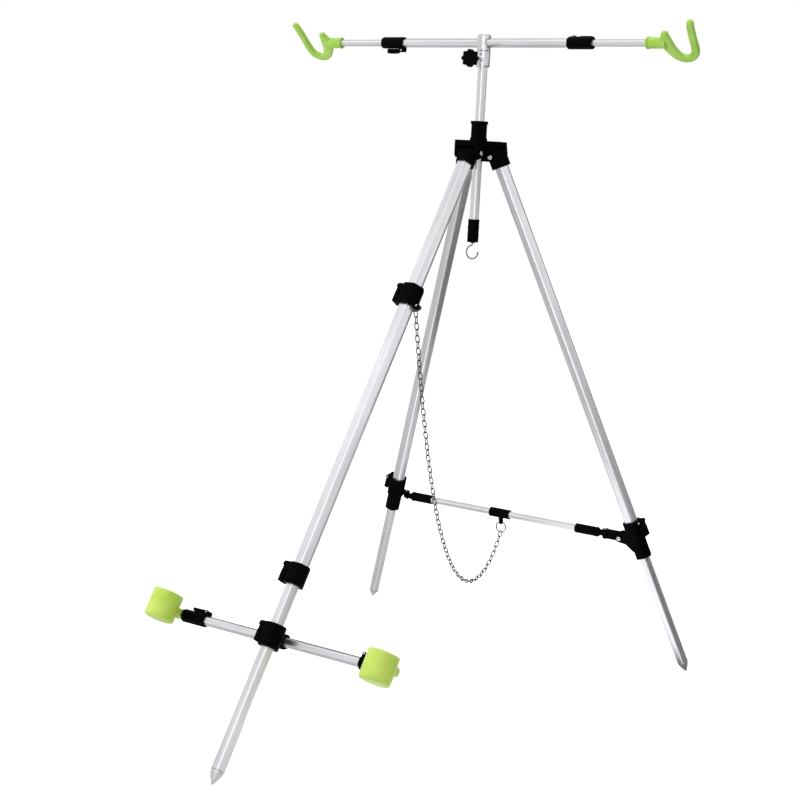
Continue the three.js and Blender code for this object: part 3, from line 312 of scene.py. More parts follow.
# %% The black mouldings
def nylon(name, level, grain_scale, edge):
    material, bench, where = new_finish(name)
    grain = bench.noise(where, grain_scale, 2.0)
    wear_and_highlight = bench.between(bench.noise(where, 60.0, 4.0, 0.6), 0.55, 0.8)
    black, rubbed = (level, level, level * 1.05), (level * 2.2, level * 2.2, level * 2.3)
    rounded = bench.node("ShaderNodeBevel", {"samples": 4}, {"Radius": edge})
    close_finish(bench, {
        "Base Color": bench.blend(wear_and_highlight * 0.5, black, rubbed),
        "Roughness": 0.46 + grain * 0.14 + wear_and_highlight * 0.1,
        "Specular IOR Level": 0.025,
        "Normal": bench.bump(grain, 0.25, GRAIN_DEPTH, Normal=rounded),
    })
    return material


black_moulding = nylon("black nylon moulding", 0.0012, 2200.0, 0.0009)
black_knob = nylon("black knob moulding", 0.0014, 1500.0, 0.0007)

# %% [markdown]
# ## Lime plastic
# Cups and rests are soft plastic whose colour drifts slowly from yellow-green to
# green, as in a real moulding. The cups' thin walls let light go a little way in
# and glow, which is what subsurface scattering does. The solid rests don't glow.


# %% The cups and the rests
def lime(name, pale, deep, glow, depth):
    material, bench, where = new_finish(name)
    share = bench.between(bench.noise(where, 26.0, 2.0), 0.35, 0.65)
    grain = bench.noise(where, 900.0, 2.0)
    close_finish(bench, {
        "Base Color": bench.blend(share, pale, deep),
        "Roughness": 0.34 + grain * 0.1,
        "Subsurface Weight": glow,
        "Subsurface Radius": (0.8, 1.0, 0.3),
        "Subsurface Scale": depth,
        "Normal": bench.bump(grain, 0.04, GRAIN_DEPTH / 2),
    })
    return material


CUP_TONES = from_screen(194, 216, 100), from_screen(170, 206, 70)
REST_TONES = from_screen(160, 202, 84), from_screen(140, 190, 60)
lime_cup = lime("lime cup plastic", *CUP_TONES, glow=0.2, depth=0.004)
lime_rest = lime("lime rest plastic", *REST_TONES, glow=0.0, depth=0.001)

# %% [markdown]
# ## Bright steel
# Chain, rings and hook are nickel-plated wire, the screws and pins are zinc
# plated, and the spikes are turned, so they carry fine rings round their axis.


# %% Wire, fastener and spike steel
def steel(name, level, rough_low, rough_high, scale):
    material, bench, where = new_finish(name)
    film = bench.noise(where, scale, 4.0, 0.6)
    tint = (level * 0.98, level * 0.985, level)
    colour = bench.blend(film, tint, (level * 0.8, level * 0.8, level * 0.82))
    rough = rough_low + film * (rough_high - rough_low)
    close_finish(bench, {"Base Color": colour, "Metallic": 1.0, "Roughness": rough})
    return material


def turned_steel(name, place):
    material, bench, where = new_finish(name)
    run = bench.dot(where, direction(place, (0, 0, 1)))
    cuts = bench.math("SINE", run * 9000.0)
    film = bench.noise(where, 240.0)
    close_finish(bench, {
        "Base Color": bench.blend(film, (0.88, 0.88, 0.9), (0.7, 0.7, 0.71)),
        "Metallic": 1.0,
        "Roughness": 0.26 + film * 0.16,
        "Normal": bench.bump(cuts, 0.2, GRAIN_DEPTH),
    })
    return material


wire_steel = steel("nickel plated wire", 0.36, 0.14, 0.3, 500.0)
chain_steel = steel("chain wire", 0.15, 0.12, 0.3, 500.0)
ring_steel = steel("ring wire", 0.13, 0.12, 0.3, 500.0)
screw_steel = steel("zinc plated screws", 0.8, 0.2, 0.36, 700.0)
spike_front = turned_steel("front spike steel", FRONT)
spike_left = turned_steel("rear left spike steel", REAR["left"])
spike_right = turned_steel("rear right spike steel", REAR["right"])
print("finishes", len(bpy.data.materials))

# %% [markdown]
# ## Smooth shading for the CAD solids
# A CAD node arrives as loose flat triangles. Its mesh is left alone, and a small
# node tree merges its corners and shades it smooth below a chosen angle, so that
# the tubes' rounded corners look round while real edges stay crisp.


# %% The shading tree
SOCKET_KINDS = {int: "NodeSocketInt", float: "NodeSocketFloat", type(None): "NodeSocketMaterial"}


def new_tree(name, inputs):
    """A tree with geometry in and out, its bench and the sockets that it is given."""
    tree = bpy.data.node_groups.new(name, "GeometryNodeTree")
    tree.is_modifier = True
    face = tree.interface
    face.new_socket("Geometry", in_out="INPUT", socket_type="NodeSocketGeometry")
    for label, default in inputs.items():
        made = face.new_socket(label, in_out="INPUT", socket_type=SOCKET_KINDS[type(default)])
        if default is not None:
            made.default_value = default
    face.new_socket("Geometry", in_out="OUTPUT", socket_type="NodeSocketGeometry")
    bench = Bench(tree)
    entry = tree.nodes.new("NodeGroupInput")
    return bench, {socket.name: Signal(bench, socket) for socket in entry.outputs if socket.name}


def close_tree(bench, result):
    exit_node = bench.tree.nodes.new("NodeGroupOutput")
    bench.tree.links.new(result.socket, exit_node.inputs[0])
    return bench.tree


def build_shading_tree():
    bench, given = new_tree("crisp edges", {"Edge Angle": math.radians(32), "Merge": 0.00001})
    merged = bench.shape("MergeByDistance", geometry=given["Geometry"], distance=given["Merge"])
    smooth = bench.shape("SetShadeSmooth", {"domain": "FACE"}, geometry=merged, shade_smooth=True)
    steeper = {0: bench.shape("InputMeshEdgeAngle"), 1: given["Edge Angle"]}
    sharp = bench.node("FunctionNodeCompare", {"operation": "GREATER_THAN"}, steeper)
    hard = {"geometry": smooth, "selection": sharp, "shade_smooth": False}
    return close_tree(bench, bench.shape("SetShadeSmooth", {"domain": "EDGE"}, **hard))


shading_tree = build_shading_tree()


def finish_node(name, material):
    node = nodes[name]
    node.data.materials.clear()
    node.data.materials.append(material)
    modifier = node.modifiers.new("crisp edges", "NODES")
    modifier.node_group = shading_tree
    weighted = node.modifiers.new("flat facets", "WEIGHTED_NORMAL")
    weighted.keep_sharp = True


# %% [markdown]
# ## Finishes on the CAD solids
# Tubes take the aluminium that runs their own way, everything moulded takes the
# nylon, and what is lime, wire or turned is made again further down.

# %% Give every CAD node its finish
finish_groups = [
    (column_metal, "column_tube"),
    (tee_metal, "tee_lower tee_upper"),
    (cross_metal, "crossbar_tube crossbar_rod_left crossbar_rod_right"),
    (front_metal, "front_leg_tube front_lower_tube"),
    (butt_metal, "butt_bar_tube butt_rod_left butt_rod_right"),
    (left_metal, "rear_left_tube rear_left_lower_tube"),
    (right_metal, "rear_right_tube rear_right_lower_tube"),
    (brace_metal, "brace_tube"),
    (black_knob, "star_knob"),
    (spike_front, "front_spike"),
    (spike_left, "rear_left_spike"),
    (spike_right, "rear_right_spike"),
    (lime_cup, "butt_cup_left butt_cup_right"),
    (lime_rest, "rod_rest_left rod_rest_right"),
    (wire_steel, "column_hook ring_upper ring_lower chain_upper chain_middle chain_lower"),
]
finish_of = {name: material for material, names in finish_groups for name in names.split()}
for name in nodes:
    finish_node(name, finish_of.get(name, black_moulding))
tubes = [name for name in nodes if "aluminium" in nodes[name].active_material.name]
print("aluminium tubes", len(tubes))

# %% [markdown]
# ## Mesh tools
# Three ways of drawing cover the new pieces: a profile turned round an axis, a
# round wire swept along points, and an outline pushed through a thickness. Each
# gives corners and faces, and `solid` joins them into one object with its
# place in the mesh.


# %% Lathe, wire and prism
def lathe(profile, sides):
    corners = []
    rows = []
    for radius, height in profile:
        if radius == 0:
            rows.append([len(corners)] * sides)
            corners.append(Vector((0, 0, height)))
            continue
        rows.append(list(range(len(corners), len(corners) + sides)))
        for step in range(sides):
            angle = 2 * math.pi * step / sides
            corners.append(Vector((radius * math.cos(angle), radius * math.sin(angle), height)))
    faces = []
    for low, high in zip(rows, rows[1:]):
        for step in range(sides):
            after = (step + 1) % sides
            face = [low[step], low[after], high[after], high[step]]
            faces.append([corner for i, corner in enumerate(face) if corner not in face[:i]])
    return corners, faces


def tube_faces(last, sides):
    """Four-sided faces between each ring of corners and the next."""
    faces = []
    for i in range(last):
        start, end = i * sides, (i + 1) * sides
        for step in range(sides):
            after = (step + 1) % sides
            faces.append([start + step, start + after, end + after, end + step])
    return faces


def end_faces(last, sides):
    return [list(range(sides)), list(range(last * sides, (last + 1) * sides))]


def sweep(points, radius, sides, closed=False):
    points = [Vector(point) for point in points]
    count = len(points)
    corners = []
    lift = None
    for i, point in enumerate(points):
        before = points[(i - 1) % count] if closed or i else point
        after = points[(i + 1) % count] if closed or i < count - 1 else point
        ahead = (after - before).normalized()
        if lift is None:
            lift = ahead.orthogonal().normalized()
        lift = (lift - ahead * lift.dot(ahead)).normalized()
        beside = ahead.cross(lift)
        for step in range(sides):
            angle = 2 * math.pi * step / sides
            corners.append(point + radius * (math.cos(angle) * lift + math.sin(angle) * beside))
    if not closed:
        return corners, tube_faces(count - 1, sides) + end_faces(count - 1, sides)
    faces = tube_faces(count, sides)
    return corners, [[corner % len(corners) for corner in face] for face in faces]


def prism(outline, low, high):
    count = len(outline)
    corners = [Vector((x, y, low)) for x, y in outline] + [Vector((x, y, high)) for x, y in outline]
    ends = [list(range(count))[::-1], list(range(count, 2 * count))]
    return corners, ends + tube_faces(1, count)


def shifted(part, matrix):
    corners, faces = part
    return [matrix @ corner for corner in corners], faces


def round_hexagon(across, rounding, steps=4):
    reach = across / math.sqrt(3) - rounding / math.cos(math.pi / 6)
    outline = []
    for corner in range(6):
        heading = corner * math.pi / 3
        for step in range(steps + 1):
            angle = heading + (step / steps - 0.5) * math.pi / 3
            x = reach * math.cos(heading) + rounding * math.cos(angle)
            y = reach * math.sin(heading) + rounding * math.sin(angle)
            outline.append((x, y))
    return outline


# %% Join parts into one object on one body
def new_object(name, data):
    made = bpy.data.objects.new(name, data)
    bpy.context.collection.objects.link(made)
    return made


def solid(name, parts, place, material, body, sharp=38, bevel=None):
    work = bmesh.new()
    for corners, faces in parts:
        spots = [work.verts.new(place @ corner) for corner in corners]
        for face in faces:
            work.faces.new([spots[i] for i in face])
    bmesh.ops.recalc_face_normals(work, faces=work.faces)
    mesh = bpy.data.meshes.new(name)
    work.to_mesh(mesh)
    work.free()
    mesh.shade_smooth()
    mesh.set_sharp_from_angle(angle=math.radians(sharp))
    mesh.materials.append(material)
    made = new_object(name, mesh)
    if bevel:
        rounding = made.modifiers.new("moulded edge", "BEVEL")
        rounding.width = bevel * MILLIMETRE
        rounding.segments = 3
        rounding.limit_method = "ANGLE"
        rounding.angle_limit = math.radians(50)
    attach(made, body)
    return made


ALONG_X = turned(y=math.pi / 2)

# %% [markdown]
# ## Rod rests
# A rest is one lime moulding: a hexagonal socket on the rod, a short inner arm,
# a round seat and a long outer arm that flares outwards. The arms are a soft
# strip with rounded corners, swept along a path of measured points. A smooth
# curve joins the points, and the strip narrows over its last two rings.

# %% Sweep the soft strip and build the two rests
# Each point is how far out it lies, how high, and half the strip's width there.
REST_PATH = [
    (38.5, 24.5, 5.0), (38.0, 16.0, 7.0), (36.5, 6.0, 10.4), (38.0, -6.0, 10.6),
    (43.2, -18.0, 9.4), (50.8, -29.0, 7.9), (61.5, -34.3, 6.6), (73.3, -32.0, 6.8),
    (82.5, -24.0, 7.0), (86.3, -10.0, 6.6), (87.5, 7.0, 6.3), (89.0, 22.0, 6.3),
    (90.3, 35.0, 6.2), (92.3, 43.0, 5.6), (93.2, 48.0, 5.0),
]
REST_STARTS = {"left": 325.5, "right": 330}
REST_LEANS = {"left": math.radians(45), "right": math.radians(47)}
REST_HALF, REST_CORNER = 4.4, 2.6
REST_ENDS = (0.6, 0.92)
RING_SIDES = 16
SOCKET_ACROSS, SOCKET_ROUNDING, SOCKET_SPAN = 17.5, 3.2, (1, 36)
LIP_ACROSS, LIP_ROUNDING, LIP_LENGTH = 19.4, 3.4, 3.2


def smooth_path(points, steps=4):
    """A curve through all points, each bend shaped by the point before and after."""
    last = len(points) - 1
    curve = []
    for i in range(last):
        a, b, c, d = (Vector(points[min(max(i + k, 0), last)]) for k in (-1, 0, 1, 2))
        for step in range(steps):
            t = step / steps
            spot = b + (c - a) * (t / 2) + (2 * a - 5 * b + 4 * c - d) * (t * t / 2)
            curve.append(spot + (3 * b - a - 3 * c + d) * (t * t * t / 2))
    curve.append(Vector(points[last]))
    return curve


def strip_ring(spot, along, half_depth, corner, size):
    """One cross section: a rectangle whose corners are quarter circles of four points."""
    out, rise, half_width = spot
    ring = []
    for step in range(RING_SIDES):
        quarter, part = divmod(step, 4)
        angle = math.radians(90 * quarter + 30 * part)
        wide_way = 1 if quarter in (0, 3) else -1
        deep_way = 1 if quarter in (0, 1) else -1
        wide = size * (wide_way * (half_width - corner) + corner * math.cos(angle))
        deep = size * (deep_way * (half_depth - corner) + corner * math.sin(angle))
        ring.append(Vector((out - along.y * wide, rise + along.x * wide, deep)))
    return ring


def soft_strip(points, half_depth, corner, ends):
    curve = smooth_path(points)
    last = len(curve) - 1
    corners = []
    for i, spot in enumerate(curve):
        along = (curve[min(i + 1, last)] - curve[max(i - 1, 0)]).xy.normalized()
        from_end = min(i, last - i)
        size = ends[from_end] if from_end < len(ends) else 1.0
        corners += strip_ring(spot, along, half_depth, corner, size)
    return corners, tube_faces(last, RING_SIDES) + end_faces(last, RING_SIDES)


def build_rest(name, side):
    start = REST_STARTS[name]
    lean = turned(x=math.pi / 2 + REST_LEANS[name]) @ half_turn("y", side)
    strip = soft_strip(REST_PATH, REST_HALF, REST_CORNER, REST_ENDS)
    socket_from, socket_to = (start + reach for reach in SOCKET_SPAN)
    socket = prism(round_hexagon(SOCKET_ACROSS, SOCKET_ROUNDING), socket_from, socket_to)
    lip = prism(round_hexagon(LIP_ACROSS, LIP_ROUNDING), start, start + LIP_LENGTH)
    along_bar = half_turn("z", side) @ ALONG_X
    parts = [
        shifted(strip, lean @ moved(start, 0, 0)),
        shifted(socket, along_bar),
        shifted(lip, along_bar),
    ]
    rest = solid(f"moulded_rest_{name}", parts, CROSS_BAR, lime_rest, f"crossbar_rod_{name}")
    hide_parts(f"rod_rest_{name}")


for name, side in SIDES:
    build_rest(name, side)
print("rest path", len(smooth_path(REST_PATH)), "points")

# %% [markdown]
# ## Butt cups
# A cup is a turned shape: rounded foot, straight wall, rounded rim and a floor
# with a fillet. Its socket sits on the bar's rod behind the cup, and the end of
# the socket is domed. The wall takes 72 steps so that its outline is round.

# %% Turn the two cups
CUP_SIDES = {"left": 238, "right": 225}
CUP_DROPS = {"left": 1, "right": 8}
CUP_FORWARD, CUP_RADIUS, CUP_HEIGHT, CUP_WALL, CUP_FLOOR = 36, 26.6, 49, 3, 4
CUP_FOOT, CUP_RIM = 5, 1.4
SLEEVE_ACROSS, SLEEVE_SPAN = 17, (216.6, 232)
DOME = [(0, 228), (9, 228), (8.9, 232), (7.6, 235.4), (4.5, 236.8), (0, 237)]
WEB_OUTLINE, WEB_HALF = [(218, -26), (235, -26), (235, 0), (218, 0)], 5.6


def fillet(radius, centre_out, centre_up, start, end, steps=5):
    spots = []
    for step in range(steps + 1):
        angle = math.radians(start + (end - start) * step / steps)
        out, up = radius * math.cos(angle), radius * math.sin(angle)
        spots.append((centre_out + out, centre_up + up))
    return spots


def cup_profile():
    low, high, inner = -CUP_HEIGHT / 2, CUP_HEIGHT / 2, CUP_RADIUS - CUP_WALL
    floor = low + CUP_FLOOR
    return [
        (0, low),
        *fillet(CUP_FOOT, CUP_RADIUS - CUP_FOOT, low + CUP_FOOT, -90, 0),
        *fillet(CUP_RIM, CUP_RADIUS - CUP_RIM, high - CUP_RIM, 0, 90, 4),
        *fillet(CUP_RIM, inner + CUP_RIM, high - CUP_RIM, 90, 180, 4),
        *fillet(CUP_FOOT, inner - CUP_FOOT, floor + CUP_FOOT, 0, -90),
        (0, floor),
    ]


def build_cup(name, side):
    place = moved(side * CUP_SIDES[name], -CUP_FORWARD, -CUP_DROPS[name])
    along_bar = half_turn("z", side) @ ALONG_X
    parts = [
        shifted(lathe(cup_profile(), 72), place),
        shifted(prism(round_hexagon(SLEEVE_ACROSS, SOCKET_ROUNDING), *SLEEVE_SPAN), along_bar),
        shifted(lathe(DOME, 36), along_bar),
    ]
    bridge = shifted(prism(WEB_OUTLINE, -WEB_HALF, WEB_HALF), half_turn("y", side))
    body = f"butt_rod_{name}"
    cup = solid(f"turned_cup_{name}", parts, BUTT_BAR, lime_cup, body)
    web = solid(f"cup_web_{name}", [bridge], BUTT_BAR, lime_cup, body, bevel=1.2)
    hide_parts(f"butt_cup_{name}")


for name, side in SIDES:
    build_cup(name, side)

# %% [markdown]
# ## Star knob
# The knob that locks the column has eight shallow lobes, a rounded rim, a sunk
# centre and a steel stud. Its outline is a circle with a cosine on it.

# %% Draw the knob
KNOB_RADIUS, KNOB_LOBES, LOBE_HEIGHT, KNOB_HALF = 14.5, 8, 1.5, 6
KNOB_FORWARD, KNOB_RISE = 43, 168.3
KNOB_NECK = [(0, -14), (7.2, -14), (7.5, -13.4), (7.5, -7), (9.5, -5), (0, -5)]
KNOB_BOSS = [(0, 5), (8.6, 5), (8.4, 6.9), (7.6, 7.5), (6.2, 7.1), (5.4, 6.6), (0, 6.4)]
KNOB_STUD = [(0, -34.2), (2.6, -34.2), (3, -33.6), (3, -12), (0, -12)]


def lobed_outline(steps=96):
    spots = []
    for step in range(steps):
        angle = 2 * math.pi * step / steps
        radius = KNOB_RADIUS + LOBE_HEIGHT * math.cos(KNOB_LOBES * angle)
        spots.append((radius * math.cos(angle), radius * math.sin(angle)))
    return spots


disc = prism(lobed_outline(), -KNOB_HALF, KNOB_HALF)
knob_parts = [disc, lathe(KNOB_NECK, 40), lathe(KNOB_BOSS, 40)]
knob_place = HEAD @ moved(0, -KNOB_FORWARD, KNOB_RISE) @ turned(x=math.pi / 2)
knob = solid("lobed_knob", knob_parts, knob_place, black_knob, "star_knob", bevel=1.3)
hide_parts("star_knob")
shank = solid("knob_stud", [lathe(KNOB_STUD, 24)], knob_place, screw_steel, "star_knob")

# %% [markdown]
# ## Spikes
# Each foot is a turned plug with a collar that seats on the tube's end and a
# point for soft ground. A narrow groove under the collar catches the light.

# %% Turn the three spikes
SHANK_SLACK, COLLAR_PROUD, SPIKE_GAP, GROOVE_DEPTH = 1.5, 0.3, 0.3, 1.6


def spike_profile(across, base, tip):
    shank, collar = across / 2 - SHANK_SLACK, across / 2 + COLLAR_PROUD
    groove, rim = collar - GROOVE_DEPTH, -base - across / 8
    return [
        (0, -base + across),
        (shank, -base + across),
        (shank, -base - SPIKE_GAP),
        (collar, -base - SPIKE_GAP),
        (collar, rim + 1.0),
        (groove, rim + 0.8),
        (groove, rim - 0.2),
        (collar - 0.1, rim - 0.6),
        (collar * 0.62, -base - (tip - base) * 0.55),
        (collar * 0.2, -tip + 2.4),
        (0, -tip),
    ]


def build_spike(name, node, profile, place, material, body):
    spike = solid(name, [lathe(profile, 40)], place, material, body, sharp=24)
    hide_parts(node)


front_profile = spike_profile(22, 1179, front_rise.length)
rear_profile = spike_profile(19.5, 1023, rear_rise.length)
build_spike("turned_spike_front", "front_spike", front_profile, FRONT, spike_front, "front_lower")
for name, material in (("left", spike_left), ("right", spike_right)):
    node, body = f"rear_{name}_spike", f"rear_{name}_lower"
    build_spike(f"turned_spike_{name}", node, rear_profile, REAR[name], material, body)

# %% [markdown]
# ## Hook and rings
# The bag hook is bent wire with a screw boss, the upper ring is a plain closed
# ring, and the lower one is a split ring: two turns of wire side by side.

# %% Bend the hook and the rings
HOOK_START, HOOK_SHANK, HOOK_RADIUS, HOOK_WIRE = -162.3, 5.6, 12.4, 1.55
HOOK_BOSS = [(0, -1.6), (3.4, -1.6), (4, -1.2), (4, -0.3), (3.6, 0), (0, 0)]
HOOK_BALL = [(0, -2), (1.2, -1.7), (1.9, -0.6), (1.9, 0.6), (1.2, 1.7), (0, 2)]
RING_WIRE = 1.1
LUG_OUT = 26 / math.sqrt(3) + 8
LUG_DROP, CLIP_X, CLIP_DROP = 318.5, -24, 18.6


def hook_line():
    centre = HOOK_START - HOOK_SHANK - HOOK_RADIUS
    points = [(0, 0, HOOK_START + rise) for rise in (6, -0.4, -2.6)]
    for step in range(29):
        angle = math.pi * (0.56 + 1.42 * step / 28)
        points.append((HOOK_RADIUS * math.cos(angle), 0, centre + HOOK_RADIUS * math.sin(angle)))
    return points


hook_parts = [
    sweep(hook_line(), HOOK_WIRE, 12),
    lathe([(radius, HOOK_START + height) for radius, height in HOOK_BOSS], 28),
    shifted(lathe(HOOK_BALL, 14), moved(*hook_line()[-1])),
]
hook = solid("bent_hook", hook_parts, HEAD, wire_steel, "column", sharp=60)
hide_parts("column_hook")

RING_UPPER = front_local @ moved(LUG_OUT, 0, -LUG_DROP)
ring_lower_top = brace_local @ Vector((CLIP_X - brace_anchor.x, 0, -CLIP_DROP))
RING_LOWER = Matrix.Translation(ring_lower_top)


def circle(radius, turns, spread, steps):
    """A ring that hangs from its top; more than one turn makes a coil."""
    coil = turns > 1
    last = steps - 1 if coil else steps
    spots = []
    for step in range(steps):
        angle = 2 * math.pi * turns * step / last
        across = spread * (step / last - 0.5) if coil else 0
        spots.append((radius * math.sin(angle), across, radius * math.cos(angle) - radius))
    return spots


def build_ring(name, wire, place, body, node):
    ring = solid(name, [wire], STAND @ place, ring_steel, body, sharp=60)
    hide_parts(node)


closed_wire = sweep(circle(6, 1, 0, 40), RING_WIRE, 10, closed=True)
split_wire = sweep(circle(11, 1.96, 1.9, 96), 0.9, 8)
build_ring("closed_ring", closed_wire, RING_UPPER, "front_leg", "ring_upper")
build_ring("split_ring", split_wire, RING_LOWER, "brace", "ring_lower")

# %% [markdown]
# ## The chain's line
# A slack chain hangs in a catenary. Its ends are the bottoms of the two rings
# and its length is the sum of its links, so the curve follows from those: the
# slack is found by halving, until the curve is as long as the chain.

# %% Work out where the 69 links lie
LINKS, LINK_LENGTH, LINK_WIDTH, WIRE = 69, 15.2, 9.0, 1.0
TOUCH, RING_GAP = 0.35, 0.3
PITCH = LINK_LENGTH - 4 * WIRE + TOUCH
FIRST = LINK_LENGTH / 2 - 2 * WIRE - RING_WIRE - RING_GAP
# The CAD chain parts at two links, and each part starts a slip earlier.
SPLITS, SLIP = (23, 46), 0.65
chain_from = RING_UPPER @ Vector((0, 0, -12))
chain_to = ring_lower_top + Vector((0, 0, -21.2))
chain_length = 2 * FIRST + (LINKS - 1) * PITCH - 2 * SLIP


def hang(start, end, length):
    flat = math.hypot(end.x - start.x, end.y - start.y)
    fall = end.z - start.z
    reach = math.sqrt(length * length - fall * fall)
    low, high = flat / 40, flat * 40
    for _ in range(80):
        middle = math.sqrt(low * high)
        longer = 2 * middle * math.sinh(flat / (2 * middle)) > reach
        low, high = (middle, high) if longer else (low, middle)
    lowest = flat / 2 - low * math.atanh(fall / length)
    arc = low * math.sinh(-lowest / low)
    floor = start.z - low * math.cosh(lowest / low)
    heading = Vector((end.x - start.x, end.y - start.y, 0)) / flat

    def spot(travelled):
        ahead = low * math.asinh((arc + travelled) / low)
        place = Vector((start.x, start.y, 0)) + heading * (ahead + lowest)
        return Vector((place.x, place.y, floor + low * math.cosh(ahead / low)))

    return spot


chain_spot = hang(chain_from, chain_to, chain_length)
print("chain", round(chain_length), "mm")

# %% [markdown]
# ## Links along the line
# One node tree makes the chain. It puts a point at each link's middle, builds an
# oval link of round wire from the named sizes, and turns every second link a
# quarter turn. The chain is strung in four runs. The first rides on the front
# leg, and each of the others, which spans one joint, is fixed in the stand's axes.


# %% The chain tree
def close_copies(bench, finish, smooth=True, **sockets):
    """End a tree: a copy of the shape on each point, made real and painted."""
    real = bench.shape("RealizeInstances", geometry=bench.shape("InstanceOnPoints", **sockets))
    if smooth:
        real = bench.shape("SetShadeSmooth", geometry=real, shade_smooth=True)
    return close_tree(bench, bench.shape("SetMaterial", geometry=real, material=finish))


def build_chain_tree():
    inputs = {
        "Links": 23,
        "Link Length": LINK_LENGTH * MILLIMETRE,
        "Link Width": LINK_WIDTH * MILLIMETRE,
        "Wire Radius": WIRE * MILLIMETRE,
        "First Turn": 0,
        "Finish": None,
    }
    bench, given = new_tree("links along a line", inputs)
    line = {0: given["Geometry"], "Count": given["Links"]}
    dots = bench.node("GeometryNodeCurveToPoints", {"mode": "COUNT"}, line, None)
    points, facing = (Signal(bench, dots.outputs[name]) for name in ("Points", "Rotation"))
    half_width = given["Link Width"] * 0.5 - given["Wire Radius"]
    loop = bench.shape("CurvePrimitiveCircle", resolution=20, radius=half_width)
    upright = bench.shape("Transform", geometry=loop, rotation=(math.pi / 2, 0, 0))
    parts = bench.node("ShaderNodeSeparateXYZ", {}, {0: bench.shape("InputPosition")}, None)
    side = bench.math("SIGN", Signal(bench, parts.outputs[2]))
    spread = side * (given["Link Length"] - given["Link Width"]) * 0.5
    oval = bench.shape("SetPosition", geometry=upright, offset=bench.vector(z=spread))
    section = bench.shape("CurvePrimitiveCircle", resolution=8, radius=given["Wire Radius"])
    link = bench.shape("CurveToMesh", curve=oval, profile_curve=section)
    order = bench.shape("InputIndex") + given["First Turn"]
    turn = bench.vector(z=bench.math("MODULO", order, 2.0) * (math.pi / 2))
    roll = bench.node("FunctionNodeEulerToRotation", {}, {0: turn})
    both = {"Rotation": facing, "Rotate By": roll}
    seated = bench.node("FunctionNodeRotateRotation", {"rotation_space": "LOCAL"}, both)
    return close_copies(bench, given["Finish"], points=points, instance=link, rotation=seated)


def set_input(modifier, name, value):
    for socket in modifier.node_group.interface.items_tree:
        if socket.item_type == "SOCKET" and socket.in_out == "INPUT" and socket.name == name:
            modifier[socket.identifier] = value


def grow(source, tree, inputs, name):
    """Run a node tree on an object and keep the result as a plain mesh object."""
    modifier = source.modifiers.new(tree.name, "NODES")
    modifier.node_group = tree
    for key, value in inputs.items():
        set_input(modifier, key, value)
    bpy.context.view_layer.update()
    ready = source.evaluated_get(bpy.context.evaluated_depsgraph_get())
    mesh = bpy.data.meshes.new_from_object(ready)
    mesh.name = name
    bpy.data.objects.remove(source)
    return new_object(name, mesh)


def line_object(points):
    curve = bpy.data.curves.new("line", "CURVE")
    curve.dimensions = "3D"
    spline = curve.splines.new("POLY")
    spline.points.add(len(points) - 1)
    for dot, point in zip(spline.points, points):
        dot.co = (*point, 1.0)
    return new_object("line", curve)


# %% String the four runs
chain_tree = build_chain_tree()
RUN_STEPS = 220
chain_runs = [
    ("chain_upper_links", 0, 24, "front_leg", None, "chain_upper"),
    ("chain_middle_links", 24, 54, "front_leg", "crown", "chain_middle"),
    ("chain_lower_links", 54, 63, "crown", "rear_right_leg", "chain_lower"),
    ("chain_end_links", 63, 69, "rear_right_leg", "brace", None),
]


def link_run(index):
    return FIRST + index * PITCH - SLIP * sum(index >= split for split in SPLITS)


def run_spots(start, end):
    return [
        STAND @ chain_spot(start + (end - start) * step / RUN_STEPS)
        for step in range(RUN_STEPS + 1)
    ]


for name, first, last, first_body, last_body, node in chain_runs:
    spots = run_spots(link_run(first), link_run(last - 1))
    inputs = {"Links": last - first, "First Turn": first % 2, "Finish": chain_steel}
    run = grow(line_object(spots), chain_tree, inputs, name)
    if last_body:
        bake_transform(run)
    else:
        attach(run, first_body)
    if node:
        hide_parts(node)
    print(name, len(run.data.polygons), "faces")

# %% [markdown]
# ## Screws, pins and rivets
# The same two heads repeat all over the stand: a low dome on each lever pin and
# a cross-head screw on the crown and the brackets. One tree makes a dome, cuts a
# cross into it where asked, and puts it on each marker.


# %% The screw tree
def build_screw_tree():
    inputs = {"Radius": 0.003, "Rise": 0.001, "Cross Width": 0.0006, "Cross Share": 0.0}
    bench, given = new_tree("heads on markers", {**inputs, "Finish": None})
    ball = bench.shape("MeshUVSphere", segments=24, rings=12, radius=given["Radius"])
    squash = bench.vector(1.0, 1.0, given["Rise"] / given["Radius"])
    dome = bench.shape("Transform", geometry=ball, scale=squash)
    reach = given["Radius"] * given["Cross Share"] * 2.0
    span = bench.vector(reach, given["Cross Width"], given["Rise"] * 1.2)
    lift = bench.vector(z=given["Rise"])
    cut = {"operation": "DIFFERENCE"}
    cutter = bench.node("GeometryNodeMeshBoolean", cut, {"Mesh 1": dome}, None)
    for turn in (math.pi / 4, -math.pi / 4):
        bar = bench.shape("MeshCube", size=span)
        bar = bench.shape("Transform", geometry=bar, translation=lift, rotation=(0, 0, turn))
        bench.tree.links.new(bar.socket, cutter.inputs["Mesh 2"])
    asked = {0: given["Cross Share"], 1: 0.01}
    wanted = bench.node("FunctionNodeCompare", {"operation": "GREATER_THAN"}, asked)
    either = {"switch": wanted, "false": dome, "true": Signal(bench, cutter.outputs["Mesh"])}
    head = bench.shape("Switch", {"input_type": "GEOMETRY"}, **either)
    facing = bench.shape("InputNamedAttribute", {"data_type": "FLOAT_VECTOR"}, name="facing")
    aimed = bench.node("FunctionNodeAlignRotationToVector", {"axis": "Z"}, {"Vector": facing})
    copies = {"points": given["Geometry"], "instance": head, "rotation": aimed}
    return close_copies(bench, given["Finish"], **copies)


screw_tree = build_screw_tree()


BRIGHT, BLACK = (screw_steel, "bright_steel"), (black_moulding, "black_plastic")


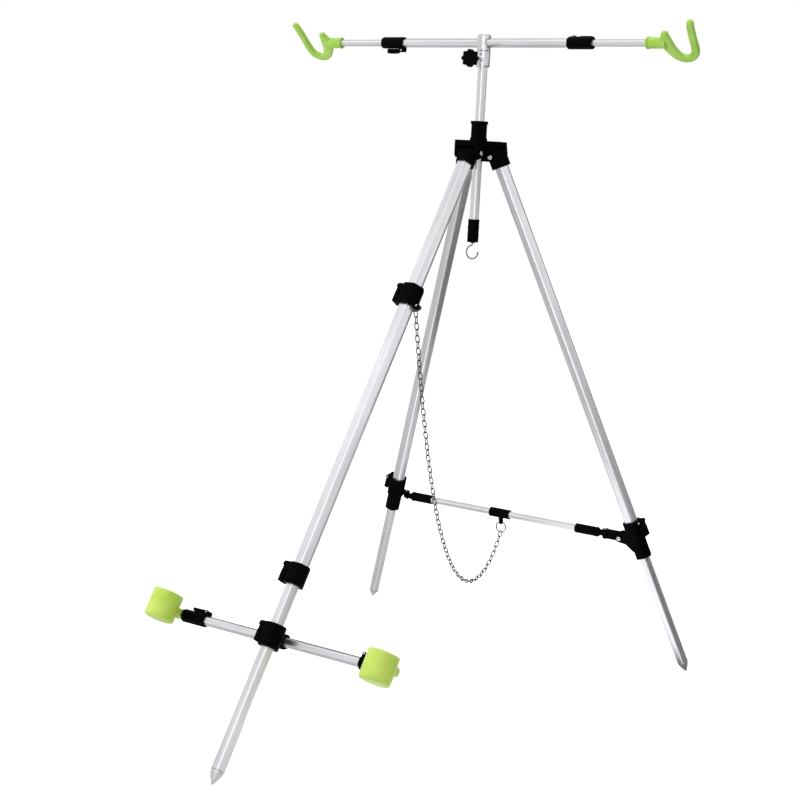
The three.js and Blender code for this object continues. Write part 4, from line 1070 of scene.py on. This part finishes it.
def heads(name, markers, place, body, radius, rise, cross=0.0, look=BRIGHT):
    """Heads at markers: each is a spot and the way it faces, in the group's own axes."""
    mesh = bpy.data.meshes.new(name)
    mesh.from_pydata([place @ Vector(spot) for spot, _ in markers], [], [])
    facing = mesh.attributes.new("facing", "FLOAT_VECTOR", "POINT")
    for i, (_, way) in enumerate(markers):
        facing.data[i].vector = direction(place, way)
    inputs = {
        "Radius": radius * MILLIMETRE,
        "Rise": rise * MILLIMETRE,
        "Cross Width": radius * 0.26 * MILLIMETRE,
        "Cross Share": cross,
        "Finish": look[0],
    }
    made = grow(new_object(name, mesh), screw_tree, inputs, name)
    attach(made, body)


# %% [markdown]
# ## Where the heads sit
# The crown's hinge pins end in cross-head screws. Each flip lever turns on a
# steel pin whose two ends show in the clamp's ears; on the three big clamps of the
# front leg they are black. The brace's link has a larger screw on the right, and
# the left bracket has its clevis pin.

# %% Hinge screws on the crown
FRONT_ACROSS, SOCKET_WALL, FIT = 26, 3.6, 0.3
PLATE, SIDE_GAP, HEAD_RISE, REAR_HALF = 4.8, 0.5, 2.4, 12
front_pin_end = (FRONT_ACROSS + 2 * SOCKET_WALL) / math.sqrt(3) + SIDE_GAP + PLATE + HEAD_RISE
rear_pin_end = REAR_HALF + FIT + PLATE + SIDE_GAP + PLATE + HEAD_RISE
crown_markers = [
    (Vector(FRONT_HINGE) + Vector((side * front_pin_end, 0, 0)), (side, 0, 0)) for side in (-1, 1)
]
for side in (-1, 1):
    for end in (-1, 1):
        way = turned(x=rear_lean + CROWN_LEAN) @ Vector((0, end, 0))
        spot = Vector((side * REAR_HINGE[0], REAR_HINGE[1], 0)) + way * rear_pin_end
        crown_markers.append((spot, way))
heads("crown_hinge_screws", crown_markers, HEAD, "crown", 4.6, 1.1, cross=0.6)


# %% Pins of the flip levers
def both_ways(x, half, z):
    """Two markers back to back, one on each side of a body."""
    return [((x, side * half, z), (0, side, 0)) for side in (-1, 1)]


def pin_out(wide, wall, barrel):
    """How far the pin lies from the axis of the tube that the clamp holds."""
    return (wide + 2 * (FIT + wall)) / math.sqrt(3) - wall / 2 + barrel


BACKWARD = turned(z=math.pi)
leg_pin = dict(width=19, barrel=4.8, ear=2.8, drop=4.8)
bracket_pin = dict(width=14, barrel=4, ear=2.6, drop=4)
cross_pin = dict(width=9, barrel=3.2, ear=2, drop=3.2)
butt_pin = dict(width=10, barrel=3.2, ear=2.4, drop=3.2)
clamps = []
for name, drop, body, wide, wall in (
    ("chain_collar", 284, "chain_collar_lever", 26, 5),
    ("front_lock", 821, "front_leg_lock_lever", 26, 3.4),
    ("butt_collar", 928, "butt_collar_lever", 22, 6),
):
    place = FRONT @ moved(0, 0, -drop) @ BACKWARD
    clamps.append((name, place, body, wide, wall, leg_pin))
for name, turn in (("left", BACKWARD), ("right", Matrix.Identity(4))):
    place = REAR[name] @ turn @ moved(0, 0, -732)
    clamps.append((f"rear_{name}_bracket", place, f"rear_{name}_lever", 24, 4.4, bracket_pin))


def on_bar(bar, side, start, lever_angle):
    place = bar @ half_turn("y", side) @ moved(start, 0, 0)
    return place @ turned(x=lever_angle) @ turned(y=-math.pi / 2)


for name, side, cross_turn, butt_turn in (("left", -1, 0, math.pi), ("right", 1, -math.pi / 3, 0)):
    place = on_bar(CROSS_BAR, side, 177, cross_turn)
    clamps.append((f"cross_clamp_{name}", place, f"crossbar_lever_{name}", 14.5, 2.7, cross_pin))
    place = on_bar(BUTT_BAR, side, 166, butt_turn)
    clamps.append((f"butt_clamp_{name}", place, f"butt_lever_{name}", 15.5, 2.7, butt_pin))
for name, place, body, wide, wall, pin in clamps:
    half = pin["width"] / 2 + SIDE_GAP + pin["ear"]
    markers = both_ways(pin_out(wide, wall, pin["barrel"]), half, -pin["drop"])
    look = BLACK if pin is leg_pin else BRIGHT
    heads(f"{name}_pin_ends", markers, place, body, 1.7, 0.5, look=look)
print("lever pins", len(clamps))

# %% Screws of the brace and the pin of the chain's lug
span = 2 * (REAR_HINGE[0] + BRACE_DROP * math.sin(rear_splay)) - LINK_REACH - 29.5
bolt, clevis = [((-34, 0, 10.3), (0, 0, 1))], [((-span, 0, 10.3), (0, 0, 1))]
heads("link_screws", both_ways(0, 12.2, 0), BRACE, "brace", 4.3, 1.0, cross=0.6)
heads("link_bolt", bolt, BRACE, "brace", 3.6, 0.9, cross=0.6)
heads("clevis_pin", clevis, BRACE, "rear_left_leg", 3.6, 0.9)
heads("lug_pin_ends", both_ways(LUG_OUT, 6, -321), FRONT, "front_leg", 2.2, 0.7)

# %% [markdown]
# ## Grip ribs on the flip levers
# A thumb needs a hold on each lever, so its free end carries a few ribs. They
# are equal and evenly spaced, which is a job for a node tree: a line of points,
# one rounded bar on each.


# %% The rib tree and the ribs
def build_rib_tree():
    inputs = {"Count": 4, "Step": 0.003, "Length": 0.014, "Radius": 0.0006, "Finish": None}
    bench, given = new_tree("grip ribs", inputs)
    step = bench.vector(z=given["Step"] * -1.0)
    line = bench.shape("MeshLine", {"mode": "OFFSET"}, count=given["Count"], offset=step)
    size = {"radius": given["Radius"], "depth": given["Length"]}
    bar = bench.shape("MeshCylinder", vertices=12, **size)
    laid = bench.shape("Transform", geometry=bar, rotation=(math.pi / 2, 0, 0))
    return close_copies(bench, given["Finish"], smooth=False, points=line, instance=laid)


rib_tree = build_rib_tree()
# The reach of each lever and how far its paddle stands out, by the lever's width.
lever_shapes = {19: (30, 5.2), 14: (28, 4.6), 9: (33, 5.4), 10: (31, 2.4)}


def grip_ribs(name, place, body, wide, wall, pin):
    reach, paddle = lever_shapes[pin["width"]]
    seed = new_object(name, bpy.data.meshes.new(name))
    inputs = {
        "Count": 4,
        "Step": reach * 0.11 * MILLIMETRE,
        "Length": (pin["width"] - 2.4) * MILLIMETRE,
        "Radius": 0.7 * MILLIMETRE,
        "Finish": black_moulding,
    }
    made = grow(seed, rib_tree, inputs, name)
    out = pin_out(wide, wall, pin["barrel"]) + paddle - 0.1
    first = moved(out, 0, -pin["drop"] - reach * 0.52)
    made.data.transform(place @ first @ Matrix.Scale(1 / MILLIMETRE, 4))
    made.data.update()
    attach(made, body)


for name, place, body, wide, wall, pin in clamps:
    grip_ribs(f"{name}_grip", place, body, wide, wall, pin)

# %% [markdown]
# ## Studio
# The stand is shown on white. The floor and the room are white to the camera,
# while the lamps stay at a plain level. The tubes mirror the room, so what they
# see is set by cards that only reflections see, as in a real studio. A white
# strip near the camera and two white cards on the floor light the bright lines,
# and two white cards high up, left and right, light the upper facets. Screens on
# the right and at the back and two dark cards on the floor darken the rear legs.
# No sheet is sampled as a lamp, which would speckle the lime plastic.


# %% Floor and room
def rays_of(bench, *names):
    path = bench.node("ShaderNodeLightPath", {}, {}, None)
    found = [Signal(bench, path.outputs[name]) for name in names]
    return bench.math("MINIMUM", sum(found[1:], found[0]), 1.0)


def glow_of(bench, colour, strength):
    sockets = {"Color": (*colour, 1.0), "Strength": strength}
    return bench.node("ShaderNodeEmission", {}, sockets)


def sheet_material(name):
    material, bench = blank_material(name)
    material.cycles.emission_sampling = "NONE"
    return material, bench


def plain_white(name, seen, mirrored):
    material, bench = sheet_material(name)
    white = (1.0, 1.0, 1.0)
    matte = bench.node("ShaderNodeBsdfDiffuse", {}, {"Color": (0.9, 0.9, 0.9, 1.0)})
    both = bench.node("ShaderNodeAddShader", {}, {0: matte, 1: glow_of(bench, white, seen)})
    shown = rays_of(bench, "Is Camera Ray", "Is Transmission Ray")
    direct = bench.node("ShaderNodeMixShader", {}, {0: shown, 1: matte, 2: both})
    glossy = {0: rays_of(bench, "Is Glossy Ray"), 1: direct, 2: glow_of(bench, white, mirrored)}
    mixed = bench.node("ShaderNodeMixShader", {}, glossy)
    bench.node("ShaderNodeOutputMaterial", {}, {"Surface": mixed}, None)
    return material


def sheet(name, corners, material):
    mesh = bpy.data.meshes.new(name)
    mesh.from_pydata(corners, [], [(0, 1, 2, 3)])
    mesh.materials.append(material)
    made = new_object(name, mesh)
    return made


FLOOR_REACH = 9
corner_ways = ((-1, -1), (1, -1), (1, 1), (-1, 1))
floor_corners = [(x * FLOOR_REACH, y * FLOOR_REACH, 0) for x, y in corner_ways]
sheet("floor", floor_corners, plain_white("floor white", seen=0.6, mirrored=0.62))

# %% Cards that only reflections see
# A standing card runs from one ground point to another, between two heights.
STANDING_CARDS = [
    ("right screen", (2.6, -0.14), (2.6, 2.0), (0.0, 0.98), 0.05),
    ("upper right card", (2.6, -0.2), (2.6, 0.9), (1.2, 2.4), 1.15),
    ("upper left card", (-2.7, -0.9), (-1.3, -2.3), (2.2, 4.2), 1.2),
    ("front strip", (0.7, -3.5), (2.0, -2.9), (0.0, 5.5), 1.8),
    ("back screen", (-1.8, 1.6), (1.3, 1.6), (0.0, 2.3), 0.16),
]
# A lying card is given by its corners, just above the floor.
LYING_HEIGHT = 0.001
LYING_CARDS = [
    ("floor card", [(-0.05, 0.42), (0.45, 0.42), (0.45, 0.75), (-0.05, 0.75)], 0.2),
    ("right floor card", [(0.45, -0.1), (2.6, -0.1), (2.6, 1.2), (0.45, 1.2)], 0.05),
    ("near floor card", [(-0.15, -0.25), (0.42, -0.25), (0.42, 0.4), (-0.15, 0.4)], 1.3),
    ("front floor card", [(0.1, -3.3), (1.9, -3.3), (1.3, -1.0), (0.3, -1.0)], 2.0),
]


def card(name, corners, level):
    material, bench = sheet_material(name)
    surface = glow_of(bench, (level, level, level * 1.02), 1.0)
    bench.node("ShaderNodeOutputMaterial", {}, {"Surface": surface}, None)
    made = sheet(name, corners, material)
    for kind in ("camera", "diffuse", "shadow", "transmission"):
        setattr(made, f"visible_{kind}", False)


for name, start, end, (low, high), level in STANDING_CARDS:
    card(name, [(*start, low), (*end, low), (*end, high), (*start, high)], level)
for name, corners, level in LYING_CARDS:
    card(name, [(x, y, LYING_HEIGHT) for x, y in corners], level)

# %% The white room
world = bpy.data.worlds.new("white room")
bpy.context.scene.world = world
world.use_nodes = True
world.node_tree.nodes.clear()
room = Bench(world.node_tree)
room_shown = rays_of(room, "Is Camera Ray", "Is Transmission Ray")
room_level = 0.55 + room_shown * 0.45 + rays_of(room, "Is Glossy Ray") * 0.3
white_light = {"Color": (1, 1, 1, 1), "Strength": room_level}
room_light = room.node("ShaderNodeBackground", {}, white_light)
room.node("ShaderNodeOutputWorld", {}, {"Surface": room_light}, None)


# %% Lamps
def lamp(name, place, aim, size, power):
    light = bpy.data.lights.new(name, "AREA")
    light.size = size
    light.energy = power
    made = new_object(name, light)
    made.location = place
    made.rotation_euler = (Vector(aim) - Vector(place)).to_track_quat("-Z", "Y").to_euler()
    made.visible_glossy = False


lamp("left lamp", (-2.4, -2.2, 2.1), (0, 0, 0.5), 1.8, 62)
lamp("front lamp", (1.2, -3.4, 2.6), (0, 0, 0.5), 1.6, 26)
lamp("top lamp", (0.2, 0.6, 3.4), (0, 0, 0), 2.2, 40)

# %% [markdown]
# ## Camera
# The camera looks slightly down from the front right, from a little above the
# crown. Its place and lens were fitted to the stand's feet, bars and crown.

# %% Set the camera
AZIMUTH, ELEVATION, ROLL = (math.radians(angle) for angle in (35.59, 11.21, 0.76))
DISTANCE, TARGET_HEIGHT, TARGET_LEFT = 3091.95, 509.74, 136.42
ahead = Vector((
    -math.sin(AZIMUTH) * math.cos(ELEVATION),
    math.cos(AZIMUTH) * math.cos(ELEVATION),
    -math.sin(ELEVATION),
))
flat_right = Vector((math.cos(AZIMUTH), math.sin(AZIMUTH), 0))
flat_up = flat_right.cross(ahead)
target = Vector((0, 0, TARGET_HEIGHT)) - TARGET_LEFT * flat_right
spot = (target - DISTANCE * ahead + Vector((0, FRONT_SHIFT, 0))) * MILLIMETRE
right = math.cos(ROLL) * flat_right + math.sin(ROLL) * flat_up
upward = math.cos(ROLL) * flat_up - math.sin(ROLL) * flat_right
lens = bpy.data.cameras.new("photo camera")
lens.lens = 73.73
lens.sensor_width = 36
lens.sensor_fit = "HORIZONTAL"
camera = new_object("photo camera", lens)
axes = Matrix((right, upward, -ahead)).transposed().to_4x4()
camera.matrix_world = Matrix.Translation(spot) @ axes
scene = bpy.context.scene
scene.camera = camera
scene.view_settings.view_transform = "Standard"
